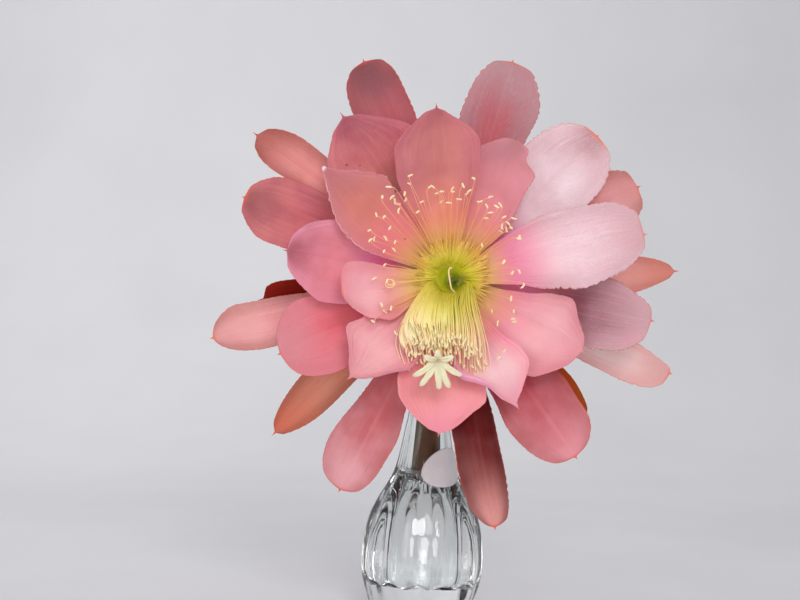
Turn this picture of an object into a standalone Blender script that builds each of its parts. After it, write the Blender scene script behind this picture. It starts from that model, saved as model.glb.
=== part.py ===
"""Orchid cactus bloom in a fluted glass bud vase.

The vase stands on the floor, its axis on Z and its foot at the origin. The bloom faces -Y.
Metres, +Z up.
"""

import math
import random

import bmesh
import bpy
from mathutils import Matrix, Vector

# Vase
FLUTES = 10
FLUTE_DEPTH = 0.0011
FLOOR_THICKNESS = 0.012
LIP_HEIGHT = 0.096
VASE_SIDES = 40

# Outer wall: height, radius and how deep the flutes run there (1 is full depth)
VASE_WALL = [
    (0.0000, 0.0182, 0.0),
    (0.0012, 0.0194, 0.15),
    (0.0060, 0.0213, 0.6),
    (0.0130, 0.0234, 1.0),
    (0.0210, 0.0243, 1.0),
    (0.0300, 0.0236, 1.0),
    (0.0380, 0.0217, 1.0),
    (0.0450, 0.0186, 0.9),
    (0.0510, 0.0151, 0.7),
    (0.0570, 0.0123, 0.5),
    (0.0640, 0.0106, 0.35),
    (0.0720, 0.0091, 0.25),
    (0.0820, 0.0076, 0.1),
    (0.0865, 0.0077, 0.0),
    (0.0910, 0.0090, 0.0),
    (0.0948, 0.0112, 0.0),
    (LIP_HEIGHT, 0.0119, 0.0),
]
# Wall thickness at a height
WALL_BODY = 0.0024
WALL_NECK = 0.0017

# Water
WATER_LEVEL = 0.0555
FIT = 0.0003

# Label on the neck: an oval that follows the glass
LABEL_WIDTH = 0.0195
LABEL_HEIGHT = 0.0138
LABEL_TURN = math.radians(24)
LABEL_AZIMUTH = math.radians(37)
LABEL_MIDDLE = 0.0590
LABEL_THICKNESS = 0.0006

# Bloom: the throat opens at THROAT and the flower looks along -Y
THROAT = Vector((0.0049, -0.0450, 0.1326))
BLOOM_TURN = math.radians(2.5)
TUBE_RADIUS = 0.0074
TUBE_STEM_RADIUS = 0.0048
TUBE_END = 0.0500
THROAT_RADIUS = 0.0066
THROAT_BACK_RADIUS = 0.0042
THROAT_DEPTH = 0.0140
# Points and radii of the tube from its cut end to just behind the throat
TUBE_PATH = [
    (0.0, 0.0, TUBE_END),
    (0.0, 0.0, 0.0620),
    (0.0001, -0.0004, 0.0750),
    (0.0003, -0.0006, 0.0860),
    (0.0008, -0.0006, 0.0960),
    (0.0019, -0.0022, 0.1080),
    (0.0033, -0.0070, 0.1195),
    (0.0044, -0.0150, 0.1285),
]
TUBE_RADII = [0.0047, 0.0047, 0.0046, 0.0044, 0.0045, 0.0049, 0.0054, 0.0061]

# Tepals
BLADE = 0.0007
ROOT_RADIUS = 0.0081
ROOT_WIDTH = 0.0080
FULL_RADIUS = 0.0830
FRONT_LAYER = 7.6
BACK_LAYER = 1.8

# Name, angle round the throat (degrees, 0 is right, 90 is up), reach and width in millimetres,
# layer (a higher one lies nearer the front), where the blade is widest (0 root, 1 tip),
# and how round the end is (0.5 is round, 1 is pointed)
TEPALS = [
    ("tepal_top", 95.6, 60.4, 31.0, 7.0, 0.66, 0.95),
    ("tepal_upper_right", 64.4, 54.6, 31.0, 6.2, 0.74, 0.50),
    ("tepal_right", 12.4, 68.5, 32.0, 6.9, 0.66, 0.62),
    ("tepal_lower_right", -29.6, 55.0, 33.0, 6.1, 0.74, 0.55),
    ("tepal_bottom_right", -63.5, 51.4, 28.0, 6.9, 0.58, 1.05),
    ("tepal_bottom", -95.0, 56.8, 36.5, 6.1, 0.60, 0.82),
    ("tepal_lower_left", -135.8, 51.8, 30.0, 6.85, 0.72, 0.62),
    ("tepal_left_front", -172.0, 39.6, 24.5, 7.6, 0.64, 0.55),
    ("tepal_left", 170.8, 61.0, 32.0, 5.6, 0.62, 0.85),
    ("tepal_upper_left", 139.8, 60.0, 33.0, 6.3, 0.74, 0.58),
    ("tepal_top_left", 124.0, 71.5, 34.0, 4.9, 0.72, 0.72),
    ("tepal_top_right", 44.0, 74.0, 35.0, 4.7, 0.74, 0.50),
    ("tepal_far_right", -12.3, 73.5, 30.0, 5.4, 0.72, 0.55),
    ("tepal_bottom_right_back", -55.3, 79.5, 30.0, 4.7, 0.72, 0.62),
    ("tepal_lower_left_back", -156.0, 68.5, 30.0, 4.9, 0.70, 0.66),
    ("tepal_far_left", 158.8, 81.5, 26.0, 4.2, 0.70, 0.72),
    ("tepal_outer_top_left", 111.7, 87.0, 23.0, 3.5, 0.74, 0.55),
    ("tepal_outer_top_right", 73.7, 85.5, 28.0, 2.8, 0.72, 0.58),
    ("tepal_outer_right", 25.8, 77.0, 24.6, 4.0, 0.74, 0.45),
    ("tepal_outer_lower_right", -23.4, 90.0, 16.5, 3.3, 0.70, 0.60),
    ("tepal_outer_bottom", -79.9, 94.0, 18.5, 4.0, 0.66, 0.65),
    ("tepal_outer_bottom_left", -117.5, 89.5, 25.0, 3.3, 0.70, 0.62),
    ("tepal_outer_left", -165.9, 93.0, 18.5, 2.6, 0.66, 0.65),
    ("sepal_upper_left", 143.3, 92.0, 17.0, 2.9, 0.66, 0.72),
    ("sepal_right", 1.9, 87.0, 16.0, 2.6, 0.62, 0.85),
    ("sepal_lower_left", -138.3, 90.5, 16.5, 1.9, 0.66, 0.85),
    ("sepal_left", -173.6, 72.5, 9.0, 2.2, 0.60, 0.90),
    ("sepal_bottom_right", -45.2, 77.0, 14.0, 1.8, 0.64, 0.85),
]
# Outlines that are not symmetrical: share of the length, then the half width to the left and to
# the right of the line from root to tip in millimetres (left is counterclockwise)
OUTLINES = {
    "tepal_top": (
        (0.2, 7.0, 6.5), (0.4, 12.0, 10.5), (0.55, 15.1, 13.4), (0.73, 15.5, 14.4),
        (0.82, 12.9, 11.6), (0.9, 7.9, 6.4), (0.95, 4.2, 2.9),
    ),
    "tepal_upper_right": (
        (0.18, 6.0, 6.0), (0.36, 9.0, 9.9), (0.53, 11.5, 10.9), (0.65, 12.0, 10.6),
        (0.8, 11.8, 11.8), (0.87, 9.3, 5.6), (0.95, 5.2, 5.0),
    ),
    "tepal_right": (
        (0.2, 7.5, 7.0), (0.43, 13.3, 11.8), (0.55, 14.2, 13.5), (0.68, 14.7, 13.3),
        (0.82, 13.8, 10.9), (0.9, 12.0, 8.4), (0.965, 8.6, 5.2),
    ),
    "tepal_lower_right": (
        (0.2, 5.5, 7.0), (0.43, 9.8, 13.0), (0.6, 13.8, 17.4), (0.7, 14.6, 17.4),
        (0.82, 9.8, 12.4), (0.92, 4.8, 6.9),
    ),
    "tepal_bottom_right": (
        (0.2, 4.0, 7.5), (0.35, 6.2, 13.0), (0.5, 9.2, 16.0), (0.58, 10.9, 15.6),
        (0.68, 11.6, 10.0), (0.78, 8.6, 5.4), (0.88, 4.6, 3.2),
    ),
    "tepal_bottom": (
        (0.2, 7.5, 7.5), (0.42, 13.3, 13.3), (0.6, 16.4, 17.0), (0.71, 16.6, 16.6),
        (0.8, 12.4, 12.8), (0.89, 7.6, 8.0), (0.95, 3.5, 4.0),
    ),
    "tepal_lower_left": (
        (0.2, 7.0, 6.5), (0.42, 13.5, 11.0), (0.56, 15.2, 12.4), (0.69, 11.6, 14.0),
        (0.79, 8.2, 8.9), (0.89, 4.1, 4.2),
    ),
    "tepal_left_front": (
        (0.25, 8.0, 5.6), (0.45, 12.0, 7.0), (0.6, 11.4, 9.0), (0.74, 9.9, 10.4),
        (0.86, 7.2, 10.8), (0.95, 3.4, 8.8),
    ),
    "tepal_left": (
        (0.2, 7.5, 7.0), (0.42, 14.0, 12.0), (0.58, 16.2, 13.7), (0.7, 15.9, 14.2),
        (0.8, 13.5, 12.3), (0.89, 9.4, 9.2), (0.95, 5.6, 6.2),
    ),
    "tepal_upper_left": (
        (0.2, 7.0, 6.5), (0.4, 11.8, 10.0), (0.52, 12.9, 10.8), (0.63, 12.5, 12.2),
        (0.71, 11.2, 12.6), (0.79, 8.6, 8.4), (0.875, 5.0, 4.4),
    ),
    "tepal_top_left": (
        (0.25, 8.0, 9.0), (0.5, 13.0, 16.0), (0.7, 15.2, 19.0), (0.79, 14.5, 15.6),
        (0.86, 10.6, 10.6), (0.93, 5.8, 5.4),
    ),
    "tepal_top_right": (
        (0.25, 8.5, 8.5), (0.5, 13.5, 13.5), (0.66, 15.7, 15.6), (0.78, 15.6, 15.2),
        (0.88, 13.0, 13.3), (0.94, 9.6, 10.4), (0.98, 5.6, 6.4),
    ),
    "tepal_bottom_right_back": (
        (0.25, 8.0, 8.5), (0.5, 12.0, 12.4), (0.68, 13.3, 14.4), (0.8, 12.8, 13.5),
        (0.88, 11.4, 11.4), (0.95, 7.6, 7.6),
    ),
    "tepal_lower_left_back": (
        (0.25, 8.0, 8.0), (0.5, 13.0, 12.5), (0.7, 14.7, 15.2), (0.8, 13.7, 14.8),
        (0.88, 12.0, 12.6), (0.95, 7.6, 7.6),
    ),
    "tepal_far_left": (
        (0.25, 6.5, 7.0), (0.5, 10.5, 11.0), (0.72, 12.3, 12.5), (0.85, 11.6, 12.1),
        (0.93, 8.8, 8.9), (0.975, 5.0, 5.0),
    ),
    "tepal_outer_top_left": (
        (0.3, 6.0, 6.0), (0.5, 8.5, 8.5), (0.7, 10.6, 10.6), (0.82, 11.0, 10.2),
        (0.9, 10.0, 9.2), (0.96, 6.2, 6.8),
    ),
    "tepal_outer_top_right": (
        (0.3, 7.5, 7.5), (0.5, 11.5, 11.0), (0.67, 13.6, 13.7), (0.78, 12.6, 14.8),
        (0.88, 10.9, 12.8), (0.95, 7.9, 9.2),
    ),
    "tepal_outer_lower_right": (
        (0.3, 4.5, 5.0), (0.6, 6.6, 7.8), (0.8, 6.0, 9.0), (0.91, 4.0, 8.2), (0.97, 2.2, 5.2),
    ),
    "tepal_outer_bottom": (
        (0.3, 5.0, 6.5), (0.53, 6.6, 9.4), (0.68, 7.0, 9.8), (0.8, 7.2, 9.2),
        (0.89, 7.0, 7.8), (0.955, 5.4, 4.4),
    ),
    "tepal_outer_bottom_left": (
        (0.3, 5.5, 6.0), (0.56, 8.8, 9.6), (0.7, 10.4, 11.6), (0.8, 10.3, 12.8),
        (0.88, 9.3, 11.6), (0.95, 6.8, 8.0),
    ),
    "tepal_outer_left": (
        (0.3, 5.0, 5.6), (0.6, 8.2, 8.6), (0.76, 8.9, 9.8), (0.86, 7.7, 9.9), (0.94, 4.8, 7.0),
    ),
    "tepal_far_right": (
        (0.25, 7.5, 8.5), (0.5, 11.2, 13.5), (0.7, 12.0, 14.7), (0.8, 10.8, 13.8),
        (0.88, 8.6, 11.8), (0.95, 5.2, 8.2),
    ),
    "sepal_left": (
        (0.3, 3.0, 3.4), (0.55, 2.6, 5.2), (0.75, 2.0, 6.3), (0.86, 1.9, 6.4), (0.94, 1.6, 5.0),
    ),
    "sepal_bottom_right": (
        (0.3, 4.0, 4.0), (0.6, 6.8, 6.0), (0.73, 7.0, 5.8), (0.84, 5.6, 4.5), (0.93, 3.6, 2.8),
    ),
    "sepal_upper_left": (
        (0.3, 4.0, 4.6), (0.55, 5.2, 7.4), (0.7, 6.0, 9.0), (0.8, 7.0, 9.4),
        (0.88, 6.6, 8.0), (0.95, 4.4, 4.8),
    ),
}
# Sideways bow of the midrib in millimetres, plus to the left seen from the root
BOW = {
    "tepal_outer_lower_right": -1.0,
    "tepal_outer_right": -1.0,
    "sepal_lower_left": -2.2,
    "sepal_right": -0.8,
}
# Extra lift of the tip towards the front, in millimetres
TIP_LIFT = {
    "tepal_top": 1.0,
    "tepal_bottom_right": 4.0,
    "tepal_outer_bottom": -3.0,
    "sepal_upper_left": -2.0,
    "sepal_right": -2.5,
    "sepal_bottom_right": -4.0,
}
# Height in millimetres by which the left and the right margin roll forwards
ROLL = {
    "tepal_bottom_right": (0.0, 5.0),
    "tepal_lower_left": (4.0, 0.0),
    "tepal_bottom": (1.5, 1.5),
}
# Tepal whose right margin is frayed near its end, and how deep the notches are there
FRAYED = "tepal_upper_left"
FRAY = 0.13
MIDDLE_LAYER = 4.1

# Stamens and style
RING_FRONT = 0.0020
RING_BACK = 0.0056
RING_HOLE = 0.0044
RING_ROOTS = 0.0051
UPPER_STAMENS = 33
FRONT_STAMENS = 12
FLANK_STAMENS = 9
FILAMENT_RADIUS = 0.00032
ANTHER_RADIUS = 0.00072
ANTHER_LENGTH = 0.0022
STYLE_RADIUS = 0.00085
STIGMA_CENTRE = Vector((-0.0053, -0.0288, 0.0362))
STIGMA_TILT = math.radians(28)
# Direction of each stigma lobe round the style (degrees, 0 is right, 90 is up) and its length
STIGMA_LOBES = [
    (28, 0.0068), (86, 0.0070), (146, 0.0064),
    (209, 0.0102), (239, 0.0112), (269, 0.0108), (290, 0.0110), (330, 0.0098),
]

BLADE_ROWS = (0.0, 0.09, 0.20, 0.33, 0.47, 0.60, 0.71, 0.80, 0.88, 0.95, 1.0)
BLADE_COLUMNS = (-1.0, -0.72, -0.36, 0.0, 0.36, 0.72, 1.0)
NARROW_COLUMNS = (-1.0, -0.55, 0.0, 0.55, 1.0)
NARROW = 19.0


def material(name, colour, roughness, alpha=1.0, transmission=0.0):
    made = bpy.data.materials.new(name)
    made.use_nodes = True
    shader = made.node_tree.nodes["Principled BSDF"]
    shader.inputs["Base Color"].default_value = (*colour, 1.0)
    shader.inputs["Roughness"].default_value = roughness
    shader.inputs["Metallic"].default_value = 0.0
    shader.inputs["Alpha"].default_value = alpha
    shader.inputs["Transmission Weight"].default_value = transmission
    made.diffuse_color = (*colour, alpha)
    return made


def shade_round(mesh, angle=50):
    mesh.shade_smooth()
    mesh.set_sharp_from_angle(angle=math.radians(angle))


def add_object(name, mesh, look, group):
    made = bpy.data.objects.new(name, mesh)
    made.data.materials.clear()
    made.data.materials.append(look)
    group.objects.link(made)
    return made


def between(table, height, column):
    """Value of a column at a height, straight between the rows of the table."""
    if height <= table[0][0]:
        return table[0][column]
    for low, high in zip(table, table[1:]):
        if height <= high[0]:
            share = (height - low[0]) / (high[0] - low[0])
            return low[column] + share * (high[column] - low[column])
    return table[-1][column]


def smooth_step(low, high, value):
    share = min(1.0, max(0.0, (value - low) / (high - low)))
    return share * share * (3 - 2 * share)


def wall(height):
    return WALL_BODY + (WALL_NECK - WALL_BODY) * smooth_step(0.040, 0.070, height)


def inner_radius(height):
    """Radius of the smooth inside of the vase."""
    outside = between(VASE_WALL, height, 1) - wall(height)
    low = height - FLOOR_THICKNESS
    if low < 0.006:
        share = 1 - low / 0.006
        outside = min(outside, outside - 0.0045 * share * share)
    return outside


def outer_radius(height, azimuth):
    depth = FLUTE_DEPTH * between(VASE_WALL, height, 2)
    return between(VASE_WALL, height, 1) - depth * 0.5 * (1 - math.cos(FLUTES * azimuth))


def turned(name, profile, sides, look, group, closed):
    """Turn a profile of (radius, height) about Z. It runs down the outer side first."""
    mesh = bpy.data.meshes.new(name)
    points = [(radius, 0.0, height) for radius, height in profile]
    edges = [(i, i + 1) for i in range(len(points) - 1)]
    if closed:
        edges.append((len(points) - 1, 0))
    mesh.from_pydata(points, edges, [])
    made = add_object(name, mesh, look, group)
    screw = made.modifiers.new("turn", "SCREW")
    screw.axis = "Z"
    screw.steps = sides
    screw.render_steps = sides
    screw.use_merge_vertices = True
    screw.merge_threshold = 0.00001
    return made


def apply_modifiers(made):
    graph = bpy.context.evaluated_depsgraph_get()
    mesh = bpy.data.meshes.new_from_object(made.evaluated_get(graph))
    made.modifiers.clear()
    old = made.data
    made.data = mesh
    bpy.data.meshes.remove(old)


def build_vase(look, group):
    # The profile starts on the axis at the inner floor, climbs inside to the lip and comes
    # down outside to the axis at the foot
    profile = [(0.0, FLOOR_THICKNESS), (inner_radius(FLOOR_THICKNESS), FLOOR_THICKNESS)]
    for height in (0.0140, 0.0185, 0.0260, 0.0350, 0.0440, 0.0510, 0.0580):
        profile.append((inner_radius(height), height))
    for height in (0.0680, 0.0790, 0.0865, 0.0915):
        profile.append((inner_radius(height), height))
    profile.append((between(VASE_WALL, 0.0945, 1) - 0.0015, 0.0950))
    profile += [(radius, height) for height, radius, flute in reversed(VASE_WALL)]
    profile.append((0.0, 0.0))
    made = turned("vase", profile, VASE_SIDES, look, group, False)
    apply_modifiers(made)
    for vertex in made.data.vertices:
        x, y, z = vertex.co
        radius = math.hypot(x, y)
        if radius < 0.001:
            continue
        outer = between(VASE_WALL, z, 1)
        if abs(radius - outer) < 0.0004:
            wanted = outer_radius(z, math.atan2(y, x)) / outer
            vertex.co.x = x * wanted
            vertex.co.y = y * wanted
    shade_round(made.data, 60)
    return made


def build_water(look, group):
    # From the axis under the plain hole for the tube, up the hole, out and down the outside
    hole = TUBE_STEM_RADIUS + FIT
    bottom = FLOOR_THICKNESS + FIT
    profile = [(0.0, TUBE_END - FIT), (hole, TUBE_END - FIT), (hole, WATER_LEVEL)]
    for height in (WATER_LEVEL, 0.0510, 0.0440, 0.0350, 0.0260, 0.0185, 0.0140):
        profile.append((inner_radius(height) - 0.00045, height))
    profile.append((inner_radius(bottom) - 0.00055, bottom))
    profile.append((0.0, bottom))
    made = turned("water", profile, 24, look, group, False)
    apply_modifiers(made)
    shade_round(made.data, 40)
    return made


def build_label(look, group):
    """An oval sheet wrapped round the neck."""
    work = bmesh.new()
    bmesh.ops.create_circle(work, cap_ends=False, segments=20, radius=1.0)
    rim = list(work.verts)
    middle = work.verts.new((0, 0, 0))
    inner = [work.verts.new(vertex.co * 0.55) for vertex in rim]
    for i in range(len(rim)):
        j = (i + 1) % len(rim)
        work.faces.new((rim[i], rim[j], inner[j]))
        work.faces.new((rim[i], inner[j], inner[i]))
        work.faces.new((inner[i], inner[j], middle))
    mean = between(VASE_WALL, LABEL_MIDDLE, 1)
    for vertex in work.verts:
        a = vertex.co.x * LABEL_WIDTH / 2
        b = vertex.co.y * LABEL_HEIGHT / 2
        along = a * math.cos(LABEL_TURN) - b * math.sin(LABEL_TURN)
        up = a * math.sin(LABEL_TURN) + b * math.cos(LABEL_TURN)
        azimuth = -math.pi / 2 + LABEL_AZIMUTH + along / mean
        height = LABEL_MIDDLE + up
        radius = between(VASE_WALL, height, 1) + FIT + 0.0001
        vertex.co = (radius * math.cos(azimuth), radius * math.sin(azimuth), height)
    mesh = bpy.data.meshes.new("label")
    work.to_mesh(mesh)
    work.free()
    made = add_object("label", mesh, look, group)
    sheet = made.modifiers.new("sheet", "SOLIDIFY")
    sheet.thickness = LABEL_THICKNESS
    sheet.offset = 1.0
    return made


def bloom_frame(u, v, w):
    """Bloom coordinates to the part's: u right, v up, w out of the throat towards the front."""
    turn_u = u * math.cos(BLOOM_TURN) - v * math.sin(BLOOM_TURN)
    turn_v = u * math.sin(BLOOM_TURN) + v * math.cos(BLOOM_TURN)
    return Vector((THROAT.x + turn_u, THROAT.y - w, THROAT.z + turn_v))


def bell(radius, layer):
    """Height w of a layer's bell over the throat plane at a radius from the bloom's axis."""
    share = (layer - BACK_LAYER) / (FRONT_LAYER - BACK_LAYER)
    out = (radius - ROOT_RADIUS) / FULL_RADIUS
    root = -0.0220 + 0.0200 * share
    rise = 0.0150 + 0.0600 * share
    fall = 0.0220 - 0.0030 * share
    collar = 0.0060 * (1 - math.exp(-max(0.0, radius - ROOT_RADIUS) / 0.0060))
    return root + rise * out - fall * out * out + collar


def through(stations, s):
    """Smooth value at s through (s, value) stations, without overshoot between them."""
    for i in range(len(stations) - 1):
        if s <= stations[i + 1][0]:
            break
    x0, y0 = stations[i]
    x1, y1 = stations[i + 1]
    here = (y1 - y0) / (x1 - x0)
    before = here
    after = here
    if i > 0:
        before = (y0 - stations[i - 1][1]) / (x0 - stations[i - 1][0])
    if i + 2 < len(stations):
        after = (stations[i + 2][1] - y1) / (stations[i + 2][0] - x1)
    start = 2 * before * here / (before + here) if before * here > 0 else 0.0
    end = 2 * after * here / (after + here) if after * here > 0 else 0.0
    t = (s - x0) / (x1 - x0)
    return (
        y0 * (1 + 2 * t) * (1 - t) ** 2 + (x1 - x0) * start * t * (1 - t) ** 2
        + y1 * t * t * (3 - 2 * t) + (x1 - x0) * end * t * t * (t - 1)
    )


def half_width(spec, s, left):
    """Half the blade's width at share s of its length, on the left or the right side."""
    name, angle, reach, width, layer, widest, roundness = spec
    root = ROOT_WIDTH / 2
    if name in OUTLINES:
        side = 1 if left else 2
        stations = [(0.0, root)]
        stations += [(row[0], row[side] / 1000) for row in OUTLINES[name]]
        stations.append((1.0, 0.0))
        return through(stations, s)
    width = width / 1000
    if s < widest:
        share = s / widest
        eased = share * share * (3 - 2 * share)
        return root + (width / 2 - root) * (0.45 * share + 0.55 * eased)
    share = (s - widest) / (1 - widest)
    return (width / 2) * max(0.0, 1 - (share * 0.985) ** 2.2) ** roundness


def blade_point(spec, s, t):
    """A point of a tepal: s runs from root to tip, t from -1 (right margin) to 1 (left)."""
    name, angle, reach, width, layer, widest, roundness = spec
    angle = math.radians(angle)
    reach = reach / 1000
    width = width / 1000
    half = half_width(spec, s, t > 0)
    roll_left, roll_right = ROLL.get(name, (0.0, 0.0))
    roll = (roll_left if t > 0 else roll_right) / 1000
    body = math.sin(math.pi * min(1.0, s * 1.05)) ** 0.7 if 0 < s < 0.95 else 0.0
    across = t * half
    if name == FRAYED and t < 0 and 0.5 < s < 0.98:
        across *= 1 - FRAY * abs(t) ** 3 * (0.5 - 0.5 * math.cos(2 * math.pi * s / 0.21))
    if roll:
        across *= 1 - 35 * roll * body * abs(t) ** 3
    bow = BOW.get(name, 0.0) / 1000
    side = across + bow * math.sin(math.pi * s)
    out = ROOT_RADIUS + (reach - ROOT_RADIUS) * s
    u = out * math.cos(angle) - side * math.sin(angle)
    v = out * math.sin(angle) + side * math.cos(angle)
    radius = math.hypot(out, side)
    w = bell(radius, layer)
    # Trough along the midrib, cupped margins and their wave
    size = width / 0.030
    w += 0.0012 * size * body * t * t
    w -= 0.0005 * body * math.exp(-(across / 0.0030) ** 2)
    phase = angle * 5.0
    w += 0.0007 * size * body * t * t * math.sin(13.0 * s + phase + (1.7 if t > 0 else 0.0))
    w += roll * body * abs(t) ** 3
    w += TIP_LIFT.get(name, 0.0) / 1000 * s ** 3
    return bloom_frame(u, v, w)


def build_tepal(spec, look, group):
    name = spec[0]
    columns = NARROW_COLUMNS if spec[3] < NARROW else BLADE_COLUMNS
    work = bmesh.new()
    rows = []
    for s in BLADE_ROWS[:-1]:
        rows.append([work.verts.new(blade_point(spec, s, t)) for t in columns])
    tip = work.verts.new(blade_point(spec, 1.0, 0.0))
    for i in range(len(rows) - 1):
        for j in range(len(columns) - 1):
            a, b = rows[i][j], rows[i][j + 1]
            c, d = rows[i + 1][j + 1], rows[i + 1][j]
            if j < (len(columns) - 1) / 2:
                work.faces.new((a, b, c))
                work.faces.new((a, c, d))
            else:
                work.faces.new((a, b, d))
                work.faces.new((b, c, d))
    for j in range(len(columns) - 1):
        work.faces.new((rows[-1][j], rows[-1][j + 1], tip))
    mesh = bpy.data.meshes.new(name)
    work.to_mesh(mesh)
    work.free()
    made = add_object(name, mesh, look, group)
    sheet = made.modifiers.new("blade", "SOLIDIFY")
    sheet.thickness = BLADE
    sheet.offset = 0.0
    made.data.shade_smooth()
    return made


def tube_along(name, points, radii, sides, look, group):
    """A tube of changing radius along points, with closed ends."""
    work = bmesh.new()
    rings = []
    side = None
    for i, point in enumerate(points):
        before = points[max(0, i - 1)]
        after = points[min(len(points) - 1, i + 1)]
        along = (after - before).normalized()
        if side is None:
            side = along.orthogonal().normalized()
        side = (side - along * side.dot(along)).normalized()
        over = along.cross(side)
        ring = []
        for k in range(sides):
            angle = 2 * math.pi * k / sides
            ring.append(work.verts.new(
                point + (side * math.cos(angle) + over * math.sin(angle)) * radii[i]
            ))
        rings.append(ring)
    for low, high in zip(rings, rings[1:]):
        for k in range(sides):
            m = (k + 1) % sides
            work.faces.new((low[k], low[m], high[m]))
            work.faces.new((low[k], high[m], high[k]))
    work.faces.new(list(reversed(rings[0])))
    work.faces.new(rings[-1])
    mesh = bpy.data.meshes.new(name)
    work.to_mesh(mesh)
    work.free()
    return add_object(name, mesh, look, group)


def curve_through(points, steps):
    """Smooth points through the given ones (Catmull-Rom)."""
    padded = [points[0] * 2 - points[1]] + points + [points[-1] * 2 - points[-2]]
    out = []
    for i in range(len(points) - 1):
        a, b, c, d = padded[i:i + 4]
        for k in range(steps):
            t = k / steps
            out.append(0.5 * (
                2 * b + (c - a) * t + (2 * a - 5 * b + 4 * c - d) * t * t
                + (3 * b - a - 3 * c + d) * t ** 3
            ))
    out.append(points[-1])
    return out


def join_all(target, group, solver="MANIFOLD"):
    """Join the target with every object of the group, then remove those."""
    joining = target.modifiers.new("join", "BOOLEAN")
    joining.operation = "UNION"
    joining.operand_type = "COLLECTION"
    joining.collection = group
    joining.solver = solver
    apply_modifiers(target)
    for part in list(group.objects):
        mesh = part.data
        bpy.data.objects.remove(part)
        bpy.data.meshes.remove(mesh)


def build_floral_tube(look, group, tools):
    points = [Vector(point) for point in TUBE_PATH]
    points += [THROAT + Vector((0, back, 0)) for back in (0.0215, 0.0150, 0.0075, 0.0)]
    radii = list(TUBE_RADII) + [0.0069, TUBE_RADIUS, TUBE_RADIUS, TUBE_RADIUS]
    fine = curve_through(points, 2)
    sizes = []
    for i in range(len(fine)):
        low = i // 2
        high = min(low + 1, len(radii) - 1)
        sizes.append(radii[low] + (radii[high] - radii[low]) * (i / 2 - low))
    # The straight foot of the tube needs no points between its own
    fine = fine[:1] + fine[2:3] + fine[4:]
    sizes = sizes[:1] + sizes[2:3] + sizes[4:]
    made = tube_along("floral_tube", fine, sizes, 14, look, group)
    # Throat: a funnel cut from the front
    bpy.ops.mesh.primitive_cone_add(
        vertices=20, radius1=THROAT_BACK_RADIUS,
        radius2=THROAT_RADIUS + (THROAT_RADIUS - THROAT_BACK_RADIUS) / THROAT_DEPTH * 0.001,
        depth=THROAT_DEPTH + 0.001,
    )
    cutter = bpy.context.object
    cutter.name = "throat_cutter"
    for home in list(cutter.users_collection):
        home.objects.unlink(cutter)
    tools.objects.link(cutter)
    cutter.rotation_euler = (math.radians(90), 0, 0)
    cutter.location = THROAT + Vector((0, (THROAT_DEPTH + 0.001) / 2 - 0.001, 0))
    cutter.hide_render = True
    cutter.display_type = "WIRE"
    cut = made.modifiers.new("throat", "BOOLEAN")
    cut.operation = "DIFFERENCE"
    cut.object = cutter
    bpy.context.view_layer.update()
    apply_modifiers(made)
    # Scales on the bare part of the tube
    scales = bpy.data.collections.new("scales")
    tools.children.link(scales)
    for k, (index, turn) in enumerate(((4, 40), (6, 170), (8, 290), (10, 60), (11, 200))):
        at = fine[index]
        along = (fine[index + 1] - fine[index - 1]).normalized()
        side = Matrix.Rotation(math.radians(turn), 3, along) @ along.orthogonal().normalized()
        over = along.cross(side)
        reach = sizes[index]
        low = at + side * (reach - 0.0012)
        mid = at + side * (reach + 0.0007) + along * 0.0040
        top = at + side * (reach + 0.0019) + along * 0.0085
        work = bmesh.new()
        shape = [
            low - over * 0.0017, low + over * 0.0017,
            mid + over * 0.0021, top, mid - over * 0.0021,
        ]
        front = [work.verts.new(point) for point in shape]
        work.faces.new((front[0], front[1], front[4]))
        work.faces.new((front[1], front[2], front[4]))
        work.faces.new((front[4], front[2], front[3]))
        mesh = bpy.data.meshes.new(f"scale_{k}")
        work.to_mesh(mesh)
        work.free()
        scale = add_object(f"scale_{k}", mesh, look, scales)
        sheet = scale.modifiers.new("sheet", "SOLIDIFY")
        sheet.thickness = 0.0007
        sheet.offset = 0.0
    join_all(made, scales)
    shade_round(made.data, 40)
    return made


def style_height(v):
    """How far out of the throat the style lies where it has sunk to v below the axis."""
    share = min(1.0, max(0.0, (-v - 0.0030) / (-STIGMA_CENTRE.y - 0.0030)))
    return STIGMA_CENTRE.z * share ** 0.92


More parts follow.
